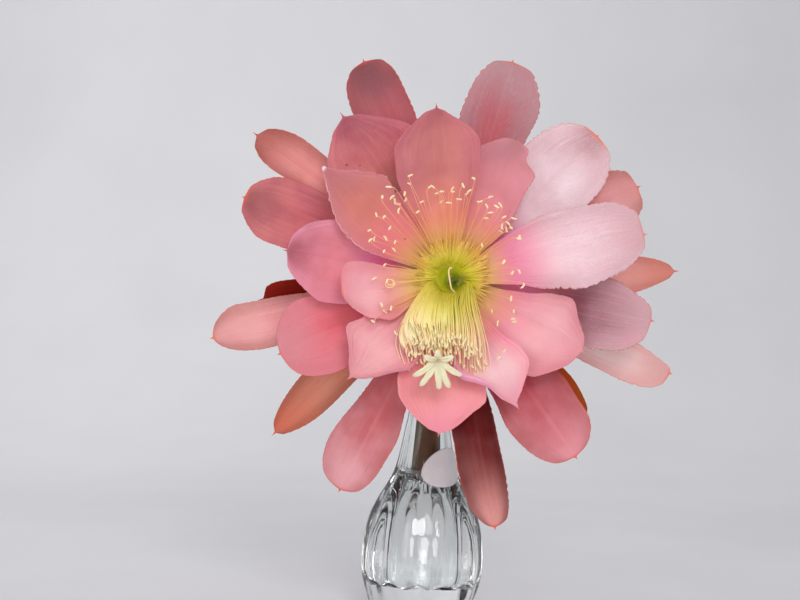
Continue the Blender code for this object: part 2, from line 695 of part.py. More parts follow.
def stamen_paths():
    """Centre lines of the filaments in bloom coordinates, and the direction of the anther."""
    draw = random.Random(14)
    paths = []
    ring = RING_ROOTS
    root = Vector((0, 0, -0.0042))
    # Upper fan: over the tepals from the right, across the top, to the left
    for k in range(UPPER_STAMENS):
        share = (k + 0.5) / UPPER_STAMENS
        angle = math.radians(-20 + 218 * share + draw.uniform(-1.5, 1.5))
        lean = 0.5 + 0.5 * math.sin(max(0.0, min(math.pi, angle)))
        reach = 0.0205 + 0.0125 * lean + draw.uniform(-0.0060, 0.0022)
        tip_w = bell(reach, FRONT_LAYER) + 0.0040 + draw.uniform(0.0, 0.0045)
        aim = Vector((math.cos(angle), math.sin(angle), 0))
        points = [
            aim * ring + root,
            aim * (ring + 0.0002) + Vector((0, 0, 0.0022)),
            aim * (ring + 0.30 * (reach - ring)) + Vector((0, 0, 0.0115 + 0.12 * tip_w)),
            aim * (ring + 0.66 * (reach - ring)) + Vector((0, 0, 0.64 * tip_w + 0.0040)),
            aim * reach + Vector((0, 0, tip_w)),
        ]
        twist = draw.uniform(-1.2, 1.2)
        tilt = Vector((
            math.cos(angle + twist), math.sin(angle + twist), draw.uniform(-0.1, 0.5)
        )).normalized()
        paths.append((points, tilt))
    # Front of the lower bundle: from the foot of the ring forwards, then down over the style
    for k in range(FRONT_STAMENS):
        across = 2 * k / (FRONT_STAMENS - 1) - 1
        side = -1 if across < 0 else 1
        turn = math.radians(270 + side * (20 + 32 * abs(across)))
        start = Vector((math.cos(turn), math.sin(turn), 0)) * (ring + 0.0004 * (k % 2))
        drop = -0.0195 - 0.0035 * draw.random()
        tip = Vector((-0.0030 + across * 0.0090, drop, 0.0345 + draw.uniform(0, 0.002)))
        points = [
            start + root,
            start + Vector((0, 0.0002, 0.0020)),
            Vector((across * 0.0038, -0.0030 - 0.0006 * (k % 2), 0.0130)),
            Vector((tip.x * 0.62, -0.0085 - 0.0008 * (k % 2), 0.0268)),
            tip,
        ]
        tilt = Vector((draw.uniform(-0.35, 0.35), -0.8, 0.2)).normalized()
        paths.append((points, tilt))
    # Flanks of the lower bundle: beside the style, longer and lower
    for side in (-1, 1):
        for k in range(FLANK_STAMENS):
            share = (k + 0.5) / FLANK_STAMENS
            turn = math.radians(270 + side * (56 + 36 * share))
            start = Vector((math.cos(turn), math.sin(turn), 0)) * (ring + 0.0004 * (k % 2))
            spread = side * (0.0070 + 0.0085 * share) - 0.0015
            drop = -0.0300 + 0.0090 * share + draw.uniform(-0.0020, 0.0020)
            tip = Vector((spread, drop, 0.0285 - 0.0030 * share))
            points = [
                start + root,
                start + Vector((0.0002 * side, 0, 0.0020)),
                start + Vector((spread * 0.17, drop * 0.10, 0.0110)),
                start * 0.5 + Vector((spread * 0.60, drop * 0.46, 0.0215)),
                tip,
            ]
            tilt = Vector((draw.uniform(-0.35, 0.35), -0.8, 0.3)).normalized()
            paths.append((points, tilt))
    return paths


def build_stamens(look, group, tools):
    slope = (THROAT_RADIUS - THROAT_BACK_RADIUS) / THROAT_DEPTH
    front = THROAT_RADIUS - slope * RING_FRONT - FIT - 0.0001
    back = THROAT_RADIUS - slope * RING_BACK - FIT - 0.0001
    profile = [
        (front, -RING_FRONT), (back, -RING_BACK),
        (RING_HOLE, -RING_BACK), (RING_HOLE, -RING_FRONT),
    ]
    made = turned("stamens", profile, 20, look, group, True)
    apply_modifiers(made)
    for vertex in made.data.vertices:
        vertex.co = bloom_frame(vertex.co.x, vertex.co.y, vertex.co.z)
    threads = bpy.data.collections.new("threads")
    tools.children.link(threads)
    for k, (points, tilt) in enumerate(stamen_paths()):
        path = [bloom_frame(*point) for point in points]
        lean = bloom_frame(*tilt) - bloom_frame(0, 0, 0)
        end = path[-1]
        path += [end + lean * 0.0004, end + lean * (ANTHER_LENGTH - 0.0004),
                 end + lean * ANTHER_LENGTH]
        sizes = [FILAMENT_RADIUS] * len(points)
        sizes += [ANTHER_RADIUS, ANTHER_RADIUS, 0.0003]
        tube_along(f"thread_{k}", path, sizes, 3, look, threads)
    join_all(made, threads)
    return made


def build_style(look, group, tools):
    centre = STIGMA_CENTRE
    way = [Vector((0.0, -0.0020, -0.0134)), Vector((0.0, -0.0026, -0.0040)),
           Vector((-0.0001, -0.0034, 0.0006))]
    for v in (-0.0070, -0.0135, -0.0205):
        way.append(Vector((centre.x * (v / centre.y) ** 1.1, v, style_height(v) - 0.0012)))
    way.append(centre)
    fine = curve_through(way, 2)
    sizes = [STYLE_RADIUS] * (len(fine) - 1) + [0.0013]
    path = [bloom_frame(*point) for point in fine]
    made = tube_along("style", path, sizes, 6, look, group)
    lobes = bpy.data.collections.new("lobes")
    tools.children.link(lobes)
    forward = Vector((0, -math.sin(STIGMA_TILT), math.cos(STIGMA_TILT)))
    right = Vector((1, 0, 0))
    up = forward.cross(right)
    for k, (turn, length) in enumerate(STIGMA_LOBES):
        turn = math.radians(turn)
        out = right * math.cos(turn) + up * math.sin(turn)
        points = [centre - forward * 0.0006, centre + out * length * 0.33 + forward * 0.0016,
                  centre + out * length * 0.7 + forward * 0.0026,
                  centre + out * length + forward * 0.0024]
        path = [bloom_frame(*point) for point in points]
        tube_along(f"lobe_{k}", path, [0.0009, 0.00095, 0.0009, 0.0005], 5, look, lobes)
    join_all(made, lobes)
    shade_round(made.data, 50)
    return made


def main():
    for thing in list(bpy.data.objects):
        bpy.data.objects.remove(thing)
    flower = bpy.data.collections.new("orchid_cactus_in_vase")
    bpy.context.scene.collection.children.link(flower)
    tools = bpy.data.collections.new("cutters")
    bpy.context.scene.collection.children.link(tools)

    glass = material("clear_glass", (0.86, 0.90, 0.90), 0.03, 0.35, 0.9)
    water = material("water", (0.80, 0.86, 0.88), 0.02, 0.25, 0.9)
    paper = material("label_paper", (0.66, 0.66, 0.68), 0.8)
    tube = material("tube_green", (0.20, 0.16, 0.06), 0.55)
    front = material("tepal_pink", (0.86, 0.33, 0.44), 0.6)
    back = material("tepal_deep_pink", (0.80, 0.30, 0.33), 0.6)
    lilac = material("tepal_lilac", (0.87, 0.58, 0.68), 0.6)
    salmon = material("sepal_salmon", (0.80, 0.24, 0.15), 0.6)
    cream = material("stamen_cream", (0.90, 0.78, 0.42), 0.6)
    pale = material("stigma_cream", (0.93, 0.87, 0.63), 0.6)

    build_vase(glass, flower)
    build_water(water, flower)
    build_label(paper, flower)
    build_floral_tube(tube, flower, tools)
    pale_ones = ("tepal_right", "tepal_top_right", "tepal_far_right", "tepal_outer_top_right")
    for spec in TEPALS:
        look = front if spec[4] > MIDDLE_LAYER else back
        if spec[0] in pale_ones:
            look = lilac
        if spec[0].startswith("sepal"):
            look = salmon
        build_tepal(spec, look, flower)
    build_stamens(cream, flower, tools)
    build_style(pale, flower, tools)


main()
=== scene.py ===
"""Looks of the orchid cactus bloom in its fluted glass bud vase.

Every piece is made in metres in the part's own frame: the vase stands on Z with its foot at the
origin, and the bloom faces -Y.
"""

import math
import random
from collections import namedtuple

import bpy
import numpy as np
from mathutils import Matrix, Vector


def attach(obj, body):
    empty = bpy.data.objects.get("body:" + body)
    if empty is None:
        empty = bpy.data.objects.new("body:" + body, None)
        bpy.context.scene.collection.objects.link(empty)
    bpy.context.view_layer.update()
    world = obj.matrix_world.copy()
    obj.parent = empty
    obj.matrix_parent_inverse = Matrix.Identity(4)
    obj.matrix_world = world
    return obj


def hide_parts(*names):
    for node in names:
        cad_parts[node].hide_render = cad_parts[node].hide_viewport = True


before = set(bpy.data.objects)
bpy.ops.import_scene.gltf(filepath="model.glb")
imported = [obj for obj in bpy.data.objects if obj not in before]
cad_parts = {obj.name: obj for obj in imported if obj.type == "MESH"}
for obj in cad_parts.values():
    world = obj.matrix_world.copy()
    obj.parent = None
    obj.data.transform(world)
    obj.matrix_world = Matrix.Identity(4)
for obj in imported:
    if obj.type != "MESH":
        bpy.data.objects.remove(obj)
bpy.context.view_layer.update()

# Sizes shared with the part
THROAT = np.array((0.0049, -0.0450, 0.1326))
BLOOM_TURN = math.radians(2.5)
ROOT_RADIUS = 0.0081
ROOT_WIDTH = 0.0080
FULL_RADIUS = 0.0830
FRONT_LAYER = 7.6
BACK_LAYER = 1.8
TUBE_RADIUS = 0.0074
THROAT_RADIUS = 0.0066
THROAT_BACK_RADIUS = 0.0042
THROAT_DEPTH = 0.0140
TUBE_END = 0.0500
TUBE_PATH = [
    (0.0, 0.0, TUBE_END), (0.0, 0.0, 0.0620), (0.0001, -0.0004, 0.0750), (0.0003, -0.0006, 0.0860),
    (0.0008, -0.0006, 0.0960), (0.0019, -0.0022, 0.1080), (0.0033, -0.0070, 0.1195),
    (0.0044, -0.0150, 0.1285),
]
TUBE_RADII = [0.0047, 0.0047, 0.0046, 0.0044, 0.0045, 0.0049, 0.0054, 0.0061]

# One row a tepal: name; direction of its midrib in degrees; reach and width in mm; layer, from
# back to front; where it is widest; how full its end is; how round its end is (0 pointed,
# 1 round); how ragged its margin is in mm; how deep its halves fold along the midrib in mm;
# palette; lightness, which is painted light and shade: each tepal a lighter or darker copy of its
# palette by how the light falls on it; magenta glow low on it, partly the flower's own flush and
# partly painted light that shines through the tepals in front
Tepal = namedtuple("Tepal", (
    "name turn reach width layer widest roundness end ragged fold palette light glow"
))
TEPALS = [Tepal(*row) for row in (
    ("tepal_top", 95.6, 60.4, 31.0, 7.0, 0.66, 0.95, 0.0, 0.1, 1.0, "warm_rose", 1.03, 0.0),
    ("tepal_upper_right", 64.4, 54.6, 31.0, 6.2, 0.74, 0.5, 0.6, 0.12, 0.8, "rose", 1.0, 0.1),
    ("tepal_right", 12.4, 68.5, 32.0, 6.9, 0.66, 0.62, 0.9, 0.4, 1.2, "lilac", 1.0, 0.62),
    ("tepal_lower_right", -29.6, 55.0, 33.0, 6.1, 0.74, 0.55, 0.2, 0.1, 2.0, "shell", 1.0, 0.45),
    ("tepal_bottom_right", -63.5, 51.4, 28.0, 6.9, 0.58, 1.05, 0.0, 0.1, 0.5, "bright", 1.04, 0.4),
    ("tepal_bottom", -95.0, 56.8, 36.5, 6.1, 0.6, 0.82, 0.0, 0.1, 0.8, "rosy_shell", 1.03, 0.0),
    ("tepal_lower_left", -135.8, 51.8, 30.0, 6.85, 0.72, 0.62, 0.2, 0.12, 0.8, "shell", 1.0, 0.35),
    ("tepal_left_front", -172.0, 39.6, 24.5, 7.6, 0.64, 0.55, 0.5, 0.15, 0.6, "shell", 1.03, 0.15),
    ("tepal_left", 170.8, 61.0, 32.0, 5.6, 0.62, 0.85, 0.1, 0.12, 2.6, "mauve_rose", 1.0, 0.95),
    ("tepal_upper_left", 139.8, 60.0, 33.0, 6.3, 0.74, 0.58, 0.2, 0.35, 0.8, "pale_rim", 1.0, 0.4),
    ("tepal_top_left", 124.0, 71.5, 34.0, 4.9, 0.72, 0.72, 0.1, 0.12, 1.6, "plum", 1.0, 0.4),
    ("tepal_top_right", 44.0, 74.0, 35.0, 4.7, 0.74, 0.5, 0.9, 0.45, 2.0, "silk", 1.0, 0.7),
    ("tepal_far_right", -12.3, 73.5, 30.0, 5.4, 0.72, 0.55, 0.9, 0.3, 0.8, "cool_lilac", 1.0, 0.8),
    ("tepal_bottom_right_back", -55.3, 79.5, 30.0, 4.7, 0.72, 0.62, 0.7, 0.12, 0.9,
     "shaded_rose", 1.0, 0.0),
    ("tepal_lower_left_back", -156.0, 68.5, 30.0, 4.9, 0.7, 0.66, 0.5, 0.12, 2.4, "deep_rose", 1.0, 0.4),
    ("tepal_far_left", 158.8, 81.5, 26.0, 4.2, 0.7, 0.72, 0.6, 0.12, 2.2, "dim_rose", 1.0, 0.0),
    ("tepal_outer_top_left", 111.7, 87.0, 23.0, 3.5, 0.74, 0.55, 0.8, 0.15, 1.3, "dusk", 1.0, 0.0),
    ("tepal_outer_top_right", 73.7, 85.5, 28.0, 2.8, 0.72, 0.58, 0.9, 0.28, 1.0, "grey_lilac", 1.0, 0.0),
    ("tepal_outer_right", 25.8, 77.0, 24.6, 4.0, 0.74, 0.45, 0.9, 0.3, 0.7, "blush", 0.94, 0.0),
    ("tepal_outer_lower_right", -23.4, 90.0, 16.5, 3.3, 0.7, 0.6, 0.8, 0.15, 0.9, "pale_blush", 1.0, 0.0),
    ("tepal_outer_bottom", -79.9, 94.0, 18.5, 4.0, 0.66, 0.65, 0.5, 0.14, 1.0, "brown_rose", 1.0, 0.0),
    ("tepal_outer_bottom_left", -117.5, 89.5, 25.0, 3.3, 0.7, 0.62, 0.6, 0.12, 1.0, "low_rose", 1.0, 0.0),
    ("tepal_outer_left", -165.9, 93.0, 18.5, 2.6, 0.66, 0.65, 0.5, 0.12, 1.0, "blush", 1.0, 0.0),
    ("sepal_upper_left", 143.3, 92.0, 17.0, 2.9, 0.66, 0.72, 0.2, 0.1, 2.0, "salmon", 1.0, 0.0),
    ("sepal_right", 1.9, 87.0, 16.0, 2.6, 0.62, 0.85, 0.1, 0.08, 0.9, "coral", 1.0, 0.0),
    ("sepal_lower_left", -138.3, 90.5, 16.5, 1.9, 0.66, 0.85, 0.0, 0.08, 1.0, "peach", 1.0, 0.0),
    ("sepal_left", -173.6, 72.5, 9.0, 2.2, 0.6, 0.9, 0.2, 0.06, 0.6, "rust", 1.0, 0.0),
    ("sepal_bottom_right", -45.2, 77.0, 14.0, 1.8, 0.64, 0.85, 0.2, 0.06, 0.6, "brown_orange", 1.0, 0.0),
)]
# Stations on the two margins: share of the length, half widths on the left and the right in mm
OUTLINES = {
    "tepal_top": (
        (0.2, 8.8, 7.2), (0.4, 13.9, 11.0), (0.55, 16.3, 13.6), (0.73, 16.0, 14.4),
        (0.82, 12.9, 11.6), (0.9, 7.9, 6.4), (0.95, 4.2, 2.9),
    ),
    "tepal_upper_right": (
        (0.18, 6.0, 7.2), (0.36, 9.0, 10.4), (0.53, 11.5, 10.9), (0.65, 12.0, 10.6),
        (0.8, 11.8, 11.8), (0.87, 9.3, 5.6), (0.95, 5.2, 5.0),
    ),
    "tepal_right": (
        (0.2, 9.6, 7.0), (0.43, 14.2, 11.8), (0.55, 14.6, 13.5), (0.68, 14.7, 13.3),
        (0.82, 13.8, 10.9), (0.9, 12.0, 8.4), (0.965, 8.6, 5.2),
    ),
    "tepal_lower_right": (
        (0.2, 5.5, 7.0), (0.43, 9.8, 13.0), (0.6, 13.8, 17.4), (0.7, 14.6, 17.4),
        (0.82, 9.8, 12.4), (0.92, 4.8, 6.9),
    ),
    "tepal_bottom_right": (
        (0.2, 4.0, 7.5), (0.35, 6.2, 13.0), (0.5, 9.2, 16.0), (0.58, 10.9, 15.6),
        (0.68, 11.6, 10.0), (0.78, 8.6, 5.4), (0.88, 4.6, 3.2),
    ),
    "tepal_bottom": (
        (0.2, 7.5, 7.5), (0.42, 13.3, 13.3), (0.6, 16.4, 17.0), (0.71, 16.6, 16.6),
        (0.8, 12.4, 12.8), (0.89, 7.6, 8.0), (0.95, 3.5, 4.0),
    ),
    "tepal_lower_left": (
        (0.2, 7.0, 6.5), (0.42, 13.5, 11.0), (0.56, 15.2, 12.4), (0.69, 11.6, 14.0),
        (0.79, 8.2, 8.9), (0.89, 4.1, 4.2),
    ),
    "tepal_left_front": (
        (0.25, 8.0, 5.6), (0.45, 12.0, 7.0), (0.6, 11.4, 9.0), (0.74, 9.9, 10.4),
        (0.86, 7.2, 10.8), (0.95, 3.4, 8.8),
    ),
    "tepal_left": (
        (0.2, 7.5, 7.0), (0.42, 14.0, 12.0), (0.58, 16.2, 13.7), (0.7, 15.9, 14.2),
        (0.8, 13.5, 12.3), (0.89, 9.4, 9.2), (0.95, 5.6, 6.2),
    ),
    "tepal_upper_left": (
        (0.2, 8.0, 8.2), (0.4, 12.6, 11.6), (0.52, 13.2, 11.8), (0.63, 12.5, 12.6),
        (0.71, 11.2, 12.6), (0.79, 8.6, 8.4), (0.875, 5.0, 4.4),
    ),
    "tepal_top_left": (
        (0.25, 8.0, 9.0), (0.5, 13.0, 16.0), (0.7, 15.2, 19.0), (0.79, 14.5, 15.6),
        (0.86, 10.6, 10.6), (0.93, 5.8, 5.4),
    ),
    "tepal_top_right": (
        (0.25, 8.5, 8.5), (0.5, 13.5, 13.5), (0.66, 15.7, 15.6), (0.78, 15.6, 15.2),
        (0.88, 13.0, 13.3), (0.94, 9.6, 10.4), (0.98, 5.6, 6.4),
    ),
    "tepal_bottom_right_back": (
        (0.25, 8.0, 8.5), (0.5, 12.0, 12.4), (0.68, 13.3, 14.4), (0.8, 12.8, 13.5),
        (0.88, 11.4, 11.4), (0.95, 7.6, 7.6),
    ),
    "tepal_lower_left_back": (
        (0.25, 8.0, 8.0), (0.5, 13.0, 12.5), (0.7, 14.7, 15.2), (0.8, 13.7, 14.8),
        (0.88, 12.0, 12.6), (0.95, 7.6, 7.6),
    ),
    "tepal_far_left": (
        (0.25, 6.5, 7.0), (0.5, 10.5, 11.0), (0.72, 12.3, 12.5), (0.85, 11.6, 12.1),
        (0.93, 8.8, 8.9), (0.975, 5.0, 5.0),
    ),
    "tepal_outer_top_left": (
        (0.3, 6.0, 6.0), (0.5, 8.5, 8.5), (0.7, 10.6, 10.6), (0.82, 11.0, 10.2),
        (0.9, 10.0, 9.2), (0.96, 6.2, 6.8),
    ),
    "tepal_outer_top_right": (
        (0.3, 7.5, 7.5), (0.5, 11.5, 11.0), (0.67, 13.6, 13.7), (0.78, 12.6, 14.8),
        (0.88, 10.9, 12.8), (0.95, 7.9, 9.2),
    ),
    "tepal_outer_lower_right": (
        (0.3, 4.5, 5.0), (0.6, 6.6, 7.8), (0.8, 6.0, 9.0), (0.91, 4.0, 8.2), (0.97, 2.2, 5.2),
    ),
    "tepal_outer_bottom": (
        (0.3, 5.0, 6.5), (0.53, 6.6, 9.4), (0.68, 7.0, 9.8), (0.8, 7.2, 9.2),
        (0.89, 7.0, 7.8), (0.955, 5.4, 4.4),
    ),
    "tepal_outer_bottom_left": (
        (0.3, 5.5, 6.0), (0.56, 8.8, 9.6), (0.7, 10.4, 11.6), (0.8, 10.3, 12.8),
        (0.88, 9.3, 11.6), (0.95, 6.8, 8.0),
    ),
    "tepal_outer_left": (
        (0.3, 5.0, 5.6), (0.6, 8.2, 8.6), (0.76, 8.9, 9.8), (0.86, 7.7, 9.9), (0.94, 4.8, 7.0),
    ),
    "tepal_far_right": (
        (0.25, 7.5, 8.5), (0.5, 11.2, 13.5), (0.7, 12.0, 14.7), (0.8, 10.8, 13.8),
        (0.88, 8.6, 11.8), (0.95, 5.2, 8.2),
    ),
    "sepal_left": (
        (0.3, 3.0, 3.4), (0.55, 2.6, 5.2), (0.75, 2.0, 6.3), (0.86, 1.9, 6.4), (0.94, 1.6, 5.0),
    ),
    "sepal_bottom_right": (
        (0.3, 4.0, 4.0), (0.6, 6.8, 6.0), (0.73, 7.0, 5.8), (0.84, 5.6, 4.5), (0.93, 3.6, 2.8),
    ),
    "sepal_upper_left": (
        (0.3, 4.0, 4.6), (0.55, 5.2, 7.4), (0.7, 6.0, 9.0), (0.8, 7.0, 9.4),
        (0.88, 6.6, 8.0), (0.95, 4.4, 4.8),
    ),
}
# Sideways bow of the midrib and lift of the tip, in mm
BOW = {
    "tepal_outer_lower_right": -1.0,
    "tepal_outer_right": -1.0,
    "sepal_lower_left": -2.2,
    "sepal_right": -0.8,
}
TIP_LIFT = {
    "tepal_top": 1.0,
    "tepal_top_right": -1.6,
    "tepal_bottom_right": 4.0,
    "tepal_outer_bottom": -3.0,
    "sepal_upper_left": -2.0,
    "sepal_right": -2.5,
    "sepal_bottom_right": -4.0,
}
# Lift of the left and the right margin in mm
ROLL = {
    "tepal_bottom_right": (0.0, 5.0),
    "tepal_lower_left": (4.0, 0.0),
    "tepal_bottom": (1.5, 1.5),
}
# Margins that curl over to the front so that the underside shows: left or right, depth in mm
CURL = {
    "tepal_bottom_right": ("right", 4.2),
    "tepal_lower_left": ("left", 3.6),
}
# The tepal whose right margin is frayed, those whose tip has only a short point, those with
# small brown specks
FRAYED = "tepal_upper_left"
BLUNT = ("tepal_upper_left", "tepal_left_front")
SPECKLED = ("tepal_upper_left", "tepal_top_left", "tepal_outer_top_left", "sepal_upper_left")
# Front tepals whose coloured rim hardly shows
FAINT_RIM = (
    "tepal_top", "tepal_upper_right", "tepal_lower_right", "tepal_bottom_right", "tepal_bottom",
    "tepal_lower_left", "tepal_left_front", "tepal_left", "tepal_top_left",
)

# Colours of a tepal: near the root, in the middle, towards the end, on the flanks, rim, back;
# then how strong the fine veins are and how strong the deep blotch in its middle is. Besides the
# tepals' own colours they hold painted light and shade: darker ends and flanks where a tepal turns
# away from the light; painted shadow where it lies under the tepal in front, in the middles of
# cool_lilac and shaded_rose and the roots and middles of rosy_shell and brown_rose; lighter
# colours painted where the tepals in front would shade them, on the roots of mauve_rose, plum and
# cool_lilac and on pale_blush
PALETTES = {
    "lilac": (
        (255, 196, 206), (255, 219, 227), (208, 160, 167), (200, 156, 166),
        (222, 118, 84), (242, 180, 198), 1.0, 0.0,
    ),
    "silk": (
        (255, 231, 238), (255, 228, 235), (178, 126, 135), (226, 178, 186),
        (222, 118, 84), (242, 180, 198), 1.0, 0.0,
    ),
    "grey_lilac": (
        (214, 98, 106), (170, 106, 118), (178, 141, 147), (174, 141, 147),
        (204, 104, 76), (212, 146, 156), 0.8, 0.7,
    ),
    "cool_lilac": (
        (255, 163, 187), (132, 76, 91), (198, 163, 169), (198, 163, 169),
        (206, 104, 76), (214, 146, 160), 0.8, 0.0,
    ),
    "shell": (
        (255, 204, 198), (255, 188, 194), (222, 137, 152), (208, 110, 124),
        (220, 106, 78), (232, 150, 166), 0.5, 0.0,
    ),
    "rosy_shell": (
        (255, 146, 144), (255, 166, 166), (234, 141, 160), (230, 130, 140),
        (220, 106, 78), (232, 150, 166), 0.5, 0.0,
    ),
    "bright": (
        (255, 190, 208), (255, 206, 210), (221, 136, 154), (242, 136, 150),
        (222, 108, 88), (226, 152, 182), 0.4, 0.0,
    ),
    "rose": (
        (255, 164, 165), (222, 146, 158), (171, 118, 125), (204, 137, 150),
        (214, 100, 76), (226, 122, 138), 0.45, 0.0,
    ),
    "mauve_rose": (
        (255, 178, 211), (241, 147, 158), (154, 77, 93), (244, 160, 182),
        (212, 92, 70), (206, 106, 124), 0.45, 0.0,
    ),
    "warm_rose": (
        (246, 162, 146), (191, 118, 117), (158, 84, 94), (186, 108, 125),
        (212, 88, 64), (206, 100, 102), 0.45, 0.0,
    ),
    "dim_rose": (
        (246, 162, 146), (214, 116, 126), (132, 68, 74), (188, 102, 112),
        (212, 88, 64), (206, 100, 102), 0.45, 0.0,
    ),
    "pale_rim": (
        (255, 158, 140), (202, 122, 114), (184, 114, 120), (206, 130, 142),
        (250, 214, 222), (206, 106, 112), 0.45, 0.0,
    ),
    "deep_rose": (
        (232, 100, 108), (232, 126, 138), (204, 138, 147), (197, 118, 128),
        (204, 76, 58), (204, 92, 102), 0.45, 0.2,
    ),
    "low_rose": (
        (190, 50, 56), (193, 109, 115), (222, 168, 174), (172, 100, 103),
        (204, 76, 58), (204, 92, 102), 0.45, 0.2,
    ),
    "shaded_rose": (
        (206, 82, 96), (176, 78, 88), (220, 147, 156), (144, 72, 69),
        (204, 76, 58), (204, 92, 102), 0.45, 0.2,
    ),
    "plum": (
        (255, 190, 176), (200, 102, 110), (150, 78, 94), (196, 106, 124),
        (200, 74, 56), (180, 76, 86), 0.45, 0.2,
    ),
    "dusk": (
        (196, 92, 98), (196, 108, 120), (107, 58, 62), (138, 69, 71),
        (196, 70, 50), (184, 80, 84), 0.4, 0.4,
    ),
    "brown_rose": (
        (122, 34, 36), (100, 24, 24), (228, 162, 156), (54, 8, 8),
        (200, 78, 52), (176, 84, 78), 0.4, 0.2,
    ),
    "blush": (
        (214, 104, 110), (252, 184, 184), (218, 156, 154), (144, 90, 76),
        (214, 98, 66), (212, 116, 108), 0.4, 0.2,
    ),
    "pale_blush": (
        (255, 196, 196), (255, 230, 226), (206, 152, 150), (220, 150, 150),
        (214, 98, 66), (212, 116, 108), 0.4, 0.0,
    ),
    "salmon": (
        (222, 136, 136), (255, 174, 172), (158, 80, 66), (124, 42, 22),
        (200, 64, 38), (190, 70, 50), 0.5, 0.0,
    ),
    "coral": (
        (220, 152, 146), (233, 172, 163), (208, 126, 108), (176, 98, 82),
        (204, 62, 34), (196, 76, 52), 0.5, 0.0,
    ),
    "peach": (
        (190, 108, 88), (222, 156, 128), (200, 101, 76), (116, 52, 30),
        (204, 62, 28), (200, 84, 46), 0.5, 0.0,
    ),
    "rust": (
        (176, 84, 48), (116, 16, 4), (124, 14, 2), (118, 12, 2),
        (140, 30, 14), (140, 38, 18), 0.5, 0.0,
    ),
    "brown_orange": (
        (186, 96, 40), (186, 90, 30), (150, 70, 22), (150, 70, 22),
        (140, 60, 20), (150, 66, 22), 0.5, 0.0,
    ),
}
# Palettes that hardly shine
DARK = ("rust", "brown_orange", "brown_rose")
# Colours of every tepal near the bloom's axis, by the distance from it in millimetres
HEART = [
    (8.0, (244, 226, 96)), (11.5, (255, 222, 122)), (15.5, (255, 208, 140)),
    (19.5, (255, 190, 150)), (24.0, (255, 164, 146)), (30.0, (248, 144, 146)),
]

# Tints laid over the tepals
PALE_VEIN = (255, 236, 242)
YELLOW_ROOT = (206, 160, 84)
# Magenta near the bloom's axis: partly the flower's own flush, partly painted light that shines through
# the tepals in front
MAGENTA_GLOW = (255, 124, 176)
SPECK = (120, 66, 52)

# Mesh of a tepal: rows, columns, further columns of one that curls, greatest thickness, length of
# the small point on its tip, radius of the curl, steps in which its outline is worked out
ROWS = 96
COLUMNS = 36
CURL_COLUMNS = 30
BLADE = 0.00055
MUCRO = 0.0023
CURL_RADIUS = 0.0019
STATIONS = 401

# Ends of the upper filaments: direction in degrees and distance from the axis in millimetres
FAN = [
    (-57, 33.0), (-53, 31.7), (-44, 23.1), (-39, 18.5), (-37, 26.7), (-33, 26.2), (-30, 25.1),
    (-20, 22.5), (-5, 25.5), (5, 21.7), (7, 23.7), (20, 19.0), (34, 27.0), (39, 25.5), (42, 27.4),
    (43, 23.9), (44, 25.2), (45, 15.9), (46, 27.3), (50, 28.0), (56, 29.4), (58, 24.4), (60, 26.1),
    (67, 30.7), (71, 28.4), (77, 35.2), (82, 30.4), (85, 32.2), (88, 27.8), (90, 30.2), (93, 30.7),
    (96, 30.3), (99, 30.1), (101, 32.0), (108, 32.3), (114, 35.7), (115, 38.4), (120, 33.4),
    (123, 31.9), (124, 38.0), (126, 31.7), (127, 33.4), (128, 35.0), (132, 37.0), (138, 32.0),
    (141, 34.1), (143, 28.1), (149, 26.8), (152, 33.1), (155, 30.4), (157, 31.6), (162, 25.8),
    (169, 24.0), (180, 26.9), (202, 26.9), (206, 26.8), (208, 24.2), (210, 31.9), (222, 28.0),
]
SHORT_THREADS = 12
STAMEN_SEED = 5
# Radius of a thread, and how much its foot adds
FAN_THREAD = (0.00012, 0.00007)
BUNDLE_THREAD = (0.00017, 0.00006)
COIL_THREAD = (0.00020, 0.00005)
THREAD_SIDES = 6
SAC_LENGTH = 0.0019
COIL_SAC_LENGTH = 0.0021
SAC_PROFILE = np.array([0.35, 0.80, 0.98, 1.0, 0.92, 1.0, 0.97, 0.78, 0.34])
SAC_SIDES = 8
# Tints of the threads: upper fan and lower bundle
UPPER = 0.0
LOWER = 1.0
# Where the threads leave the throat, and how many each layer of the lower bundle has
FOOT_RING = 0.0058
FOOT_DEPTH = -0.0038
BUNDLE_COUNTS = (40, 34, 30, 24)
# Fused sheets: rows, and for the web of the upper fan its threads, first direction, span and reach
SHEET_ROWS = 26
WEB_THREADS = 261
WEB_START = -42
WEB_SPAN = 264
WEB_REACH = 0.0300
COIL_REACH = 0.0225

# Bowl of the throat: radius and height of its profile, down the middle of the front first
BOWL = [
    (0.00002, -0.0042), (0.0014, -0.0039), (0.0024, -0.0033), (0.0033, -0.0025), (0.0041, -0.0016),
    (0.0048, -0.0007), (0.0054, 0.0002), (0.0059, 0.0009), (0.0064, 0.0014), (0.0069, 0.0015),
    (0.0071, 0.0010), (0.0069, 0.0004), (0.0060, -0.0005), (0.0057, -0.0020), (0.0055, -0.0040),
    (0.0050, -0.0058), (0.0030, -0.0064), (0.00002, -0.0064),
]
BOWL_SIDES = 192

# Stigma: its centre in the bloom, its tilt, and for each lobe the direction in degrees and length
STIGMA_CENTRE = np.array((-0.0053, -0.0288, 0.0362))
STIGMA_TILT = math.radians(28)
STIGMA_LOBES = [
    (28, 0.0060), (86, 0.0052), (146, 0.0056),
    (209, 0.0102), (239, 0.0112), (269, 0.0108), (290, 0.0110), (330, 0.0098),
]
LOBE_SIDES = 20
STYLE_SIDES = 14
STYLE_SEED = 11

